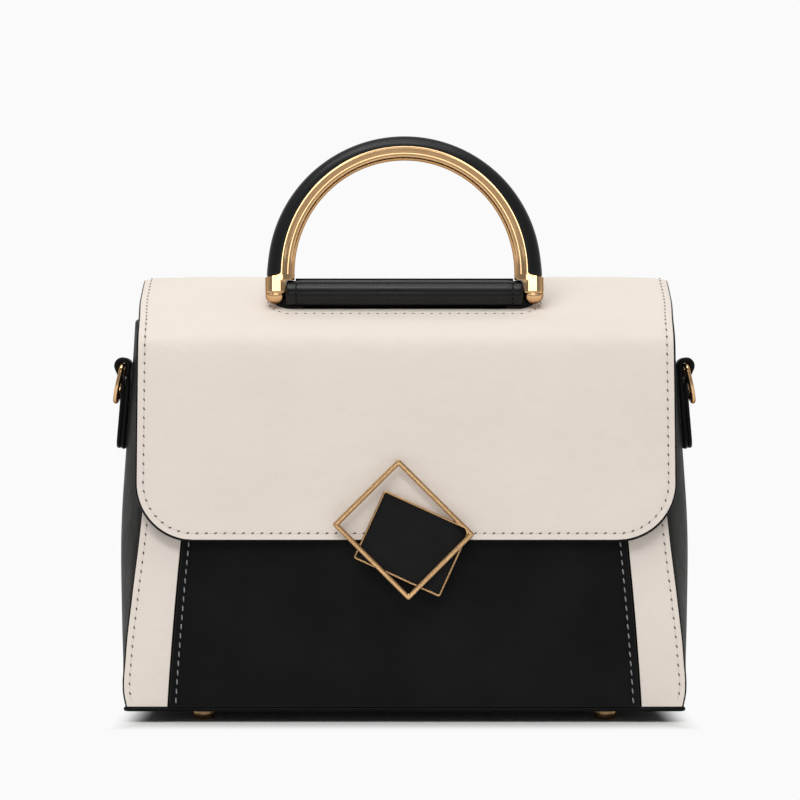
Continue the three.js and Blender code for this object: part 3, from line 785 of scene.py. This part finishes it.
def flap_grid(bulge, slot_bulge):
    """The flap's points and faces: a sheet before the slot, one behind it and one past each of its ends."""
    lead_rows, tail_rows, end_rows = 5, 15, 7
    columns, slot_end = flap_columns(bulge, slot_bulge)
    corner = FLAP["corner"] - bulge
    half_width = FLAP["half_width"] - bulge
    margin = EDGE_STEPS[-1]
    inner_steps = EDGE_STEPS[-2::-1]
    ends = flap_row(slot_y(columns, slot_bulge, True))
    lead = flap_row(SLOT["front"] - slot_bulge) - FLAP_LEAD
    low = bulge + np.concatenate([EDGE_STEPS, np.linspace(10, corner, 8)])
    plain = np.linspace(low[-1], lead, round((lead - low[-1]) / FLAP_STEP) + 1)[1:]
    front_rows = []
    for s in np.concatenate([low, plain]):
        up = min(s - bulge, corner)
        reach = half_width - corner + math.sqrt(corner ** 2 - (corner - up) ** 2)
        front_rows.append(on_flap(columns * reach / half_width, s))
    lead_run = ends - margin - lead
    front_rows += [on_flap(columns, lead + lead_run * k / lead_rows) for k in range(1, lead_rows + 1)]
    front_rows += [on_flap(columns, ends - step) for step in inner_steps]
    starts = flap_row(slot_y(columns, slot_bulge, False))
    last = FLAP_LENGTH - bulge
    back_rows = [on_flap(columns, starts + step) for step in EDGE_STEPS]
    back_run = last - 2 * margin - starts
    for k in range(1, tail_rows + 1):
        back_rows.append(on_flap(columns, starts + margin + back_run * k / tail_rows))
    back_rows += [on_flap(columns, last - step) for step in inner_steps]
    patches = [front_rows, back_rows]
    for outside in (columns >= slot_end - 1e-6, columns <= -slot_end + 1e-6):
        from_front, gap = ends[outside], starts[outside] - ends[outside]
        steps = range(end_rows + 1)
        patches.append([on_flap(columns[outside], from_front + gap * k / end_rows) for k in steps])
    points, faces, count = [], [], 0
    for patch in map(np.array, patches):
        points.append(patch.reshape(-1, 3))
        faces.append(grid_faces(*patch.shape[:2]) + count)
        count += len(points[-1])
    return weld(np.concatenate(points), np.concatenate(faces))


def flap_seam():
    """The stitch line round the flap's free edge, from the back on the right to the back on the left."""
    inset = FLAP_STITCH_INSET
    radius = FLAP["corner"] - inset
    x_side = FLAP["half_width"] - inset
    up = np.linspace(FLAP["corner"], FLAP_LENGTH - 4, 160)
    a = quarter(24)
    foot = np.linspace(x_side - radius, 0, 30)[1:]
    x = np.concatenate([np.full(160, x_side), x_side - radius + radius * np.cos(a), foot])
    s = np.concatenate([up[::-1], inset + radius - radius * np.sin(a), np.full(29, inset)])
    return on_flap(np.concatenate([x, -x[-2::-1]]), np.concatenate([s, s[-2::-1]]))


def slot_seam(straight, end, y_at):
    """A stitch line along the slot that turns round its two ends."""
    x = symmetric(np.concatenate([np.linspace(0, straight, 20)[:-1], straight + end * np.sin(quarter(20))]))
    return on_flap(x, flap_row(y_at(x)))


def flap():
    bulge, slot_bulge = 1.0, 0.45
    points, faces = flap_grid(bulge, slot_bulge)
    straight, end, grow = SLOT_STITCH["straight"], SLOT_STITCH["end"], SLOT_STITCH["back_grow"]
    back_x = np.linspace(-FLAP["half_width"] + 4, FLAP["half_width"] - 4, 40)
    lines = {
        "flap_seam": flap_seam(),
        "slot_seam_front": slot_seam(
            straight, end, lambda x: SLOT_STITCH["middle"] - SLOT_STITCH["run"] * arch(x, straight, end)
        ),
        "slot_seam_back": slot_seam(
            SLOT_STRAIGHT, SLOT["end_radius"] + grow, lambda x: slot_y(x, grow, False)
        ),
        "flap_back_seam": on_flap(back_x, FLAP_LENGTH - STITCH_INSET),
    }
    dents = [(line[::3], 1.2, 0.09) for line in lines.values()]
    shell("flap", points, faces, FLAP_WALL, bulge, [CREAM, PAINT, SUEDE], dents, "cream_leather", slot_bulge)
    for name, line in lines.items():
        cream_stitches(name, line, flap_out)


def seat():
    """The patch that closes the slot from below, in near-black leather with painted shade."""
    bulge = 0.4
    half = SEAT["half_length"] - bulge
    rows = np.linspace(flap_row(SEAT["front"]) + bulge, flap_row(SEAT["back"]) - bulge, 31)
    s, x = flat_grid(rows, np.linspace(-half, half, 41))
    points = under_flap(x, s, FLAP_WALL + GAP + crest_dip(x, flap_at(s)))
    shell("handle_seat", points, grid_faces(31, 41), SEAT["wall"], bulge, [SHADE, PAINT, SUEDE])


# Handle

def bend_place(angle, out, back):
    """Points of the handle's tube: angle round the loop, distance out from its middle, and to the back."""
    reach = HANDLE["bend_radius"] + out
    return together(reach * np.cos(angle), HANDLE["y"] + back, HANDLE["bend_height"] + reach * np.sin(angle))


def round_bar(x, radius, turn):
    """Points at a radius round the handle's rod."""
    return together(x, HANDLE["y"] + radius * np.cos(turn), HANDLE["bar_height"] + radius * np.sin(turn))


def grip_reach(angle):
    """The angle that the grip covers on each side of the tube, at a place round the loop."""
    return math.radians(GRIP["half_angle"] - GRIP["less_at_top"] * math.sin(angle) ** 2)


def frame_section(pocket, angle):
    """The tube's section at a place round the loop: a moulded gold inner half, and an outer half that is sunk
    under the grip by a pocket."""
    radial, deep, half = HANDLE["radial"], HANDLE["deep"], grip_reach(angle)
    inner = HANDLE["inner"] - HANDLE["thinner_at_top"] * math.sin(angle) ** 2
    edge = radial * math.cos(half)
    share = 1 - (1 - np.linspace(0, 1, 44)) ** 1.5
    x = edge - (edge + inner) * share
    turn = np.arccos(np.clip(x / np.where(x > 0, radial, inner), -1, 1))
    relief = np.interp(share, *MOULDING.T)
    y = (deep + relief) * np.sin(turn)
    for start, end in FLAT_BANDS:
        y[(share >= start) & (share <= end)] = np.interp((start + end) / 2, share, y)
    side = together(x + relief * np.cos(turn), y)
    outer = np.linspace(-half, half, 29)
    under = together((radial - pocket) * np.cos(outer), (deep - pocket) * np.sin(outer))
    return np.concatenate([side, side[-2::-1] * (1, -1), under])


def squarish(share):
    """Draws a sine or cosine out towards its ends, which makes an oval squarer."""
    return np.sign(share) * np.abs(share) ** 0.7


def leg_section(inner, outer, share, flatness, edged):
    """The leg's section in x and y: round at the back, with a flat raised front between two curved sides.
    Where it is edged, its inner side is a nearly flat facet with a sharp edge."""
    deep = HANDLE["deep"]
    flat_in, flat_out = LEG["flat"]
    middle, half = (inner + outer) / 2, (outer - inner) / 2
    low = 1 - LEG["flat_rise"]

    def back(turn):
        return together(middle + half * np.cos(turn), deep * np.sin(turn))

    turn = quarter(10)[1:]
    side_in = together(flat_in - (flat_in - inner) * np.cos(turn) ** 1.2, -deep * low * np.sin(turn) ** 0.55)
    facet = np.clip(np.linspace(-0.5, 1, 9), 0, 1)
    wall = np.concatenate([[0.3, 0.55, 0.74], np.linspace(0.79, low, 6)])
    side_in += (together(inner + (flat_in - inner) * facet, -deep * wall) - side_in) * edged
    face = together(np.linspace(flat_in, flat_out, 40), -deep)
    turn = quarter(12)[::-1]
    side_out = together(flat_out + (outer - flat_out) * np.cos(turn), -deep * low * np.sin(turn))
    flat = np.concatenate([back(np.radians(np.linspace(85, 180, 43))), side_in, face, side_out,
                           back(np.radians(np.linspace(0, 85, 13))[1:])])
    angle = np.arctan2(flat[:, 1] / deep, (flat[:, 0] - middle) / half)
    oval = together(middle + half * squarish(np.cos(angle)), deep * squarish(np.sin(angle)))
    return (middle, 0) + (oval + (flat - oval) * flatness - (middle, 0)) * share


def leg_rows():
    """The leg from its foot up: height, inner and outer reach, size, flatness and edge of each section."""
    notch, inner, outer = LEG["notch"], LEG["inner"], LEG["outer"]
    dome, groove, top = LEG["dome"], LEG["groove"], LEG["notch_top"]
    soft, fillet = LEG["notch_round"], LEG["notch_fillet"]
    dome_high = groove - 0.45
    rows = [(dome + (dome_high - dome) * (1 - math.cos(a)), notch, outer, math.sin(a), 0.0, 1.0)
            for a in np.linspace(0.1, math.pi / 2, 16)]
    rows += [(groove + up, notch, outer, share, flatness, 1.0) for up, share, flatness in LEG_GROOVE]
    rows += [(top - fillet * (1 - math.sin(a)), notch - fillet * (1 - math.cos(a)), outer, 1.0, 1.0, 1.0)
             for a in quarter(8)]
    rows += [(top + soft * (1 - math.cos(a)), inner + soft * (1 - math.sin(a)), outer, 1.0, 1.0, 0.0)
             for a in quarter(8)]
    rows.append((LEG["top"], inner, outer, 1.0, 1.0, 0.0))
    return rows


def handle():
    pocket = GRIP["thickness"] + GAP
    base, top = LEG["notch_top"], LEG["top"]
    outside = (LEG["top_outside"] - base) / (top - base)

    def placed(x, y, z):
        """A section's points at a height. The leg's upper end follows the grip's slanted end."""
        lean = 1 + (outside - 1) * np.clip((x - LEG["flat"][0]) / (LEG["outer"] - LEG["flat"][0]), 0, 1)
        return together(x, HANDLE["y"] + y, np.where(z > base, base + (z - base) * lean, z))

    leg = [placed(*leg_section(*row).T, z) for z, *row in leg_rows()]
    x, y = frame_section(pocket, 0.0).T
    leg.append(placed(HANDLE["bend_radius"] + x, y, top + 0.05))
    bend = [bend_place(angle, *frame_section(pocket, angle).T) for angle in np.linspace(0, np.pi, 121)]
    loop = tube("handle_loop_gold", leg + bend + [ring * SIDES["left"] for ring in leg[::-1]], GOLD)
    place(sharpen(loop, 40), "handle", "gold_metal", "handle_frame")
    inside = LEG["notch"] + 1.5
    rod = [round_bar(x, HANDLE["bar_radius"], circle(64)) for x in (-inside, 0, inside)]
    # The rod is black enamel so that where it shows between the roll and the leg it reads as the shade there:
    # a dark piece standing in for painted shade.
    place(sharpen(tube("handle_rod_dark", rod, ENAMEL)), "handle", "black_enamel")


def grip_section(share, h):
    """The grip's C section with rounded lips, its wall scaled by a share, round to an angle on each side."""
    thick = GRIP["thickness"]
    middle_r, middle_d = HANDLE["radial"] - thick / 2, HANDLE["deep"] - thick / 2
    t = np.linspace(-h, h, 41)
    w = thick / 2 * share
    outside = together((middle_r + w) * np.cos(t), (middle_d + w) * np.sin(t))
    inside = together((middle_r - w) * np.cos(t), (middle_d - w) * np.sin(t))[::-1]
    lips = []
    for sign in (1, -1):
        end = np.array([middle_r * math.cos(h), sign * middle_d * math.sin(h)])
        out = unit(np.array([math.cos(h), sign * math.sin(h)]))
        ahead = np.array([-math.sin(h), sign * math.cos(h)])
        turns = np.linspace(0, np.pi, 9)[1:-1]
        arc = [end + w * (out * math.cos(b) + ahead * math.sin(b) * 0.9) for b in turns]
        lips.append(arc[::sign])
    return np.concatenate([outside, lips[0], inside, lips[1]])


def grip():
    """The leather over the handle's outer half, with rounded and slanted ends."""
    radius = HANDLE["bend_radius"]
    first = -GRIP["drop"] / radius
    last = np.pi - first
    soft_end = GRIP["soft_end"] / radius
    stations = [(first + soft_end * p, share, trim) for p, share, trim in GRIP_END]
    stations += [(angle, 1.0, 0.0) for angle in np.linspace(first + soft_end, last - soft_end, 111)]
    stations += [(last - soft_end * p, share, trim) for p, share, trim in GRIP_END[::-1]]
    rings = []
    for angle, share, trim in stations:
        out, back = grip_section(share, grip_reach(angle) - trim).T
        near = np.clip(1 - np.array([angle - first, last - angle]) * radius / GRIP["flare_run"], 0, 1) ** 2
        lean = GRIP["slant"] * out / radius * (near[1] - near[0])
        flare = GRIP["flare"] * near.max() * np.maximum(out, 0) / HANDLE["radial"]
        rings.append(bend_place(angle + lean, out + flare, back))
    place(tube("handle_grip_leather", rings, GRIP_BLACK), "handle", "black_leather", "handle_grip")


def sleeve_out(point):
    return np.array([0, point[1] - HANDLE["y"], point[2] - HANDLE["bar_height"]])


def sleeve():
    """The leather roll round the handle's rod, its lapped layer, and the neck that sews it to the patch."""
    radius, bore, half = SLEEVE["radius"], SLEEVE["bore"], SLEEVE["half_length"]
    soft, stitch_x = SLEEVE["soft"], SLEEVE["stitch_x"]
    groove, groove_width = 0.3, 0.8
    side = [(x, radius - groove * math.exp(-((x - stitch_x) / groove_width) ** 2))
            for x in np.linspace(0, half - soft, 40)[1:-1]]
    ends = [(half - soft + soft * math.sin(t), radius - soft + soft * math.cos(t)) for t in quarter(7)]
    right = side + ends + [(half, bore + 0.5), (half - 0.25, bore + 0.12), (half - 0.6, bore)]
    profile = [(-x, r) for x, r in right[::-1]] + [(0.0, radius)] + right
    rings = [round_bar(x, r, circle(72)) for x, r in profile]
    roll = tube("sleeve_roll_leather", rings, ROLL_BLACK, closed=True)
    place(roll, "bag", "black_leather", "handle_sleeve")
    lap_wall = SLEEVE_LAP["radius"] - radius - 0.1
    bulge = lap_wall / 2
    trim = bulge / SLEEVE_LAP["radius"]
    lap_half = SLEEVE_LAP["half_length"] - bulge
    turns = np.linspace(math.radians(SLEEVE_LAP["from"]) + trim, math.radians(SLEEVE_LAP["to"]) - trim, 31)
    t, x = flat_grid(turns, np.linspace(-lap_half, lap_half, 61))
    shell("sleeve_lap", round_bar(x, SLEEVE_LAP["radius"], t), grid_faces(31, 61)[:, ::-1], lap_wall, bulge,
          [ROLL_BLACK, PAINT, SUEDE], solid=False)
    neck_half, neck_y = SLEEVE["neck_half_length"], SLEEVE["neck_front"]
    foot = flap_at(flap_row(neck_y))[1] - 1.9
    heights = np.linspace(foot, HANDLE["bar_height"] - radius + 1.0, 5)
    z, x = flat_grid(heights, np.linspace(-neck_half, neck_half, 21))
    # The neck is near-black too: painted shade under the roll.
    shell("sleeve_neck", together(x, neck_y, z), grid_faces(5, 21), SLEEVE["neck_back"] - neck_y, 0.4,
          [SHADE, PAINT, SHADE], solid=False)
    for side, x in (("left", -stitch_x), ("right", stitch_x)):
        line = round_bar(x, radius, np.radians(np.linspace(110, 255, 40)))
        row_of_stitches(f"sleeve_seam_{side}", line, sleeve_out, BLACK_THREAD, pitch=2.6, width=0.3,
                        hole=PAINT)


# Clasp

front_half = flap_points[:, 1].argmax()
clasp_row = np.interp(CLASP["z"], flap_points[:front_half, 1], flap_run[:front_half])
clasp_seat = flap_at(clasp_row)
clasp_up = flap_direction(clasp_row)


def raised(outline, height):
    """A flat outline, x right and y up the flap, moved onto the flap and raised off it."""
    out = np.array([-clasp_up[1], clasp_up[0]])
    yz = clasp_seat + outline[:, 1:2] * clasp_up + height * out
    return np.column_stack([outline[:, 0] + CLASP["x"], yz])


def clasp_outline(piece, shrink):
    """The flat outline of the square or the plate, shrunk all round."""
    corner = np.maximum(0.45, np.array(piece["corner"]) - shrink)
    outline = rounded_rectangle(piece["along"] / 2 - shrink, piece["across"] / 2 - shrink, corner)
    a = math.radians(piece["turn"])
    turn = np.array([[math.cos(a), math.sin(a)], [-math.sin(a), math.cos(a)]])
    return outline @ turn + (piece["x"], piece["y"])


def clasp_loops(piece, profile):
    """Loops round the square or the plate, one for each (shrink, height) of a profile."""
    return [raised(clasp_outline(piece, shrink), height) for shrink, height in profile]


def clipped(outline, normal, limit):
    """The part of a convex outline whose points reach at least a limit along a normal."""
    reach = outline @ normal - limit
    kept = []
    for k in range(len(outline)):
        before, here = reach[k - 1], reach[k]
        if before * here < 0:
            kept.append(outline[k - 1] + (outline[k] - outline[k - 1]) * before / (before - here))
        if here >= 0:
            kept.append(outline[k])
    return np.array(kept)


def crossing(shrink, spare):
    """The plate's right corner where it lies over the square's upper right bar."""
    up = np.array([1, 1]) / math.sqrt(2)
    down = np.array([1, -1]) / math.sqrt(2)
    band = CLASP_FRAME["band"]
    corner = clipped(clasp_outline(CLASP_PLATE, shrink), up, CLASP_FRAME["across"] / 2 - band - spare)
    return clipped(corner, -down, -(CLASP_FRAME["along"] / 2 - band))


def clasp_block(name, outline, low, high):
    return tube(name, [raised(outline, low), raised(outline, high)], SATIN_GOLD)


def rounded_steps(profile, soft):
    """A profile of (shrink, height) corners with each corner cut to a short round."""
    rows = []
    count = len(profile)
    for k in range(count):
        here = np.array(profile[k])
        for other in (np.array(profile[k - 1]), np.array(profile[(k + 1) % count])):
            rows.append(here + unit(other - here) * soft)
        rows.insert(-1, (rows[-1] + rows[-2]) / 4 + here / 2)
    return rows


def clasp():
    band, low, high = CLASP_FRAME["band"], CLASP_FRAME["from"], CLASP_FRAME["to"]
    rim, depth, floor = CLASP_PLATE["rim"], 1.5, CLASP_FLOOR
    ring = [(0, low), (0, high - 0.3), (0.35, high), (band - 0.6, high), (band, high - 0.7), (band, low)]
    loops = clasp_loops(CLASP_FRAME, rounded_steps(ring, 0.14))
    square = tube("clasp_square_gold", loops, SATIN_GOLD, closed=True)
    carve(square, clasp_block("corner_cut", crossing(rim, depth), 0.5, high + depth))
    place(sharpen(square, 30), "bag", "gold_metal", "clasp_frame")
    lip = clasp_block("clasp_corner_gold", crossing(0.0, 0.0), CLASP_PLATE["to"] - 0.6, high + 0.25)
    carve(lip, clasp_block("lip_cut", crossing(rim, depth), 0.5, high + depth))
    place(sharpen(lip, 30), "bag", "gold_metal")
    low, high = CLASP_PLATE["from"], CLASP_PLATE["to"]
    tray_profile = [
        (8.0, low), (0.25, low), (0.0, low + 0.25), (0.0, high - 0.22), (0.08, high - 0.07), (0.24, high),
        (rim - 0.22, high), (rim - 0.07, high - 0.08), (rim, high - 0.24), (rim, floor + 0.05),
        (rim + 0.1, floor), (8.0, floor),
    ]
    tray = tube("clasp_tray_gold", clasp_loops(CLASP_PLATE, tray_profile), SATIN_GOLD)
    place(sharpen(tray, 50), "bag", "gold_metal")
    start, low, high = rim + GAP / 2, CLASP_INLAY["from"], CLASP_INLAY["to"]
    face = [(start, low), (start, high - 0.16), (start + 0.06, high - 0.05), (start + 0.2, high),
            (start + 3, high), (12.0, high)]
    inlay = tube("clasp_face_enamel", clasp_loops(CLASP_PLATE, face), ENAMEL)
    place(sharpen(inlay, 50), "bag", "black_enamel", "clasp_inlay")
    radius, a = CLASP_BOSS["radius"], circle(40)
    post = [raised(together(r * np.cos(a), CLASP_BOSS["y"] + r * np.sin(a)), z)
            for r, z in ((radius - 0.3, GAP), (radius, GAP + 0.2), (radius, CLASP_BOSS["to"]))]
    place(sharpen(tube("clasp_boss_gold", post, SATIN_GOLD)), "bag", "gold_metal")


# Side tabs and rings

def tabs():
    """A strap end folded round the ring's bar: an outer and an inner layer and a loop, with round ends."""
    thin = TAB["layers"] / 2 - 0.1
    bulge = thin / 2
    loop, corner = TAB["loop_radius"], TAB["corner"]
    neck = TAB["neck"] - 4
    heights = np.linspace(TAB["bottom"] + 0.6, neck, 12)
    outer = together(side_at(heights) + GAP + TAB["layers"], heights)
    turn = np.radians(np.linspace(-25, 205, 24))
    head = together(RING["x"] + loop * np.cos(turn), RING["z"] + loop * np.sin(turn))
    low = np.linspace(neck, TAB["bottom"], 12)
    inner = together(side_at(low) + GAP, low)
    line = through(np.concatenate([outer, head, inner]), 150)
    run = lengths(line)
    rows = graded(run[-1] - 2 * bulge, 1.2) + bulge
    columns = symmetric(np.linspace(0, 1, 13))
    points = []
    for (x, z), s in zip(at_run(rows, run, line), rows):
        near = min(s, run[-1] - s) - bulge
        trim = corner - math.sqrt(max(0.0, corner ** 2 - (corner - min(near, corner)) ** 2))
        width = TAB["half_width"] - bulge - trim
        points.extend([(x, y * width, z) for y in columns])
    points = np.array(points)
    at_head = np.exp(-(np.hypot(points[:, 0] - RING["x"], points[:, 2] - RING["z"]) / (loop + 1)) ** 8)
    wall = thin + (loop - TAB["bore"] - thin) * at_head
    faces = grid_faces(len(rows), len(columns))
    for side, flip in SIDES.items():
        shell(f"strap_tab_{side}", points * flip, faces[:, ::flip[0]], wall, bulge * 0.8,
              [BLACK, PAINT, SUEDE])


def ring_line(count):
    """The ring's centre line in its own plane, y and z, as an even run of points."""
    half, straight, corner = RING["half_width"], RING["straight"], RING["corner"]
    a, bow_turn = quarter(9), quarter(25)
    top = together(half - corner + corner * np.sin(a), -corner + corner * np.cos(a))
    bow = together(half * np.cos(bow_turn), -straight - half * np.sin(bow_turn))
    right = np.concatenate([[(0, 0)], top, bow])
    whole = np.concatenate([right, right[-2:0:-1] * (-1, 1), right[:1]])
    run = lengths(whole)
    return at_run(np.linspace(0, run[-1], count, endpoint=False), run, whole)


def rings():
    line = ring_line(120)
    ahead = unit(np.roll(line, -1, axis=0) - np.roll(line, 1, axis=0))
    out = together(-ahead[:, 1], ahead[:, 0])
    wire, a = RING["wire"], circle(16)
    lean = math.radians(RING["lean"])
    loops = []
    for p, o in zip(line, out):
        x = wire * np.cos(a)
        y = p[0] + o[0] * wire * np.sin(a)
        z = p[1] + o[1] * wire * np.sin(a)
        loops.append(together(RING["x"] + x * math.cos(lean) - z * math.sin(lean), y,
                              RING["z"] + x * math.sin(lean) + z * math.cos(lean)))
    for side, flip in SIDES.items():
        ring = tube(f"strap_ring_{side}_gold", np.array(loops) * flip, GOLD, closed=True)
        place(ring, f"ring_{side}", "gold_metal", f"strap_ring_{side}")


front()
strips()
back()
gussets()
base()
feet()
flap()
seat()
handle()
grip()
sleeve()
clasp()
tabs()
rings()


# Stage, light and camera, in metres

BACKDROP = 0.956
# Where the floor's darker paper, which deepens the bag's shadow with painted shade, gives way to an even
# glow: axis, and distance at which that starts and ends
SHADED = (("X", 0.118, 0.136), ("Y", 0.058, 0.094))


def floor_finish():
    """Matt paper that shows the bag's shadow close by, made darker there as painted shade, and glows evenly
    farther off.
    """
    # The close-by paper is darker than the glow farther off: painted shade around the bag on top of its real
    # shadow.
    tones = ((0.62, 0.62, 0.61), (0.63, 0.63, 0.62))
    material, tree, shader, where = new_material("pale_floor", 0.9, tones, 3.0, specular=0.1)
    parts = add_node(tree, "SeparateXYZ", {"Vector": where})
    shares = {}
    for number, (axis, low, high) in enumerate(SHADED):
        size = add_node(tree, "Math", {0: parts.outputs[axis]}, operation="ABSOLUTE")
        shares[number] = map_range(tree, size.outputs["Value"], low, high, interpolation_type="SMOOTHSTEP")
    reach = add_node(tree, "Math", shares, operation="MAXIMUM")
    glow = add_node(tree, "Emission", {"Strength": BACKDROP})
    mix = add_node(tree, "MixShader", {"Fac": reach.outputs["Value"], 1: shader.outputs["BSDF"],
                                       2: glow.outputs["Emission"]})
    connect(tree, tree.nodes["Material Output"], {"Surface": mix.outputs["Shader"]})
    return material


def stage():
    """A pale seamless floor that turns up into a backdrop."""
    half, front_end, back_end, bend, top = 4.0, -2.6, 2.2, 0.9, 3.0
    line = [(front_end, 0.0), (0.0, 0.0)]
    line += [(back_end + bend * math.sin(t), bend * (1 - math.cos(t))) for t in quarter(17)]
    line.append((back_end + bend, top))
    points = [(x, y, z) for y, z in line for x in (-half, half)]
    faces = grid_faces(len(line), 2)[:, ::-1].tolist()
    floor = add_object("floor", smooth_mesh("floor", points, faces, [floor_finish()]))


def grey_card():
    """A grey card on the floor in front, out of the picture: the metal and the roll reflect it."""
    half, near, far, rise, grey = 1.5, -0.37, -1.7, 0.002, (0.46, 0.44, 0.42, 1)
    material = bpy.data.materials.new("grey_card")
    material.use_nodes = True
    tree = material.node_tree
    connect(tree, tree.nodes["Principled BSDF"], {"Base Color": grey, "Roughness": 0.9})
    points = [(-half, far, rise), (half, far, rise), (half, near, rise), (-half, near, rise)]
    card = add_object("grey_card", smooth_mesh("grey_card", points, [(0, 1, 2, 3)], [material]))
    card.visible_camera = False
    card.visible_shadow = False


def softbox(name, location, target, size, energy):
    data = bpy.data.lights.new(name, "AREA")
    data.shape = "RECTANGLE"
    data.size, data.size_y = size
    data.energy = energy
    lamp = add_object(name, data)
    lamp.location = location
    lamp.rotation_euler = (Vector(target) - Vector(location)).to_track_quat("-Z", "Y").to_euler()


def sky(front_level, back_level, top_level):
    """A soft dome of light, dim in front and bright above and behind. The camera sees the backdrop."""
    world = bpy.data.worlds.new("studio")
    bpy.context.scene.world = world
    world.use_nodes = True
    tree = world.node_tree
    parts = add_node(tree, "SeparateXYZ", {"Vector": add_node(tree, "TexCoord").outputs["Generated"]})
    depth = map_range(tree, parts.outputs["Y"], -0.8, 0.6, front_level, back_level)
    height = map_range(tree, parts.outputs["Z"], 0.25, 0.9, 0.0, top_level)
    largest = add_node(tree, "Math", {0: depth, 1: height}, operation="MAXIMUM")
    camera_ray = add_node(tree, "LightPath").outputs["Is Camera Ray"]
    seen = map_range(tree, camera_ray, 0.0, 1.0, largest.outputs["Value"], BACKDROP)
    connect(tree, tree.nodes["Background"], {"Color": (1, 1, 1, 1), "Strength": seen})


def camera():
    data = bpy.data.cameras.new("camera")
    data.lens = 146.4
    data.sensor_width = 36.0
    eye = add_object("camera", data)
    eye.location = (-0.0021, -1.554, 0.1486)
    eye.rotation_euler = (math.pi / 2, 0, 0)
    bpy.context.scene.camera = eye


stage()
grey_card()
sky(0.25, 0.6, 0.55)
softbox("key", (-0.4, -1.2, 1.95), (0, 0, 0.12), (1.8, 0.6), 23)
softbox("top", (0.0, -0.3, 1.6), (0, 0, 0.15), (1.3, 0.18), 5)
softbox("low_front", (0.0, -1.75, 0.31), (0, 0, 0.2), (0.46, 0.26), 1.25)
camera()
bpy.context.scene.view_settings.view_transform = "Standard"
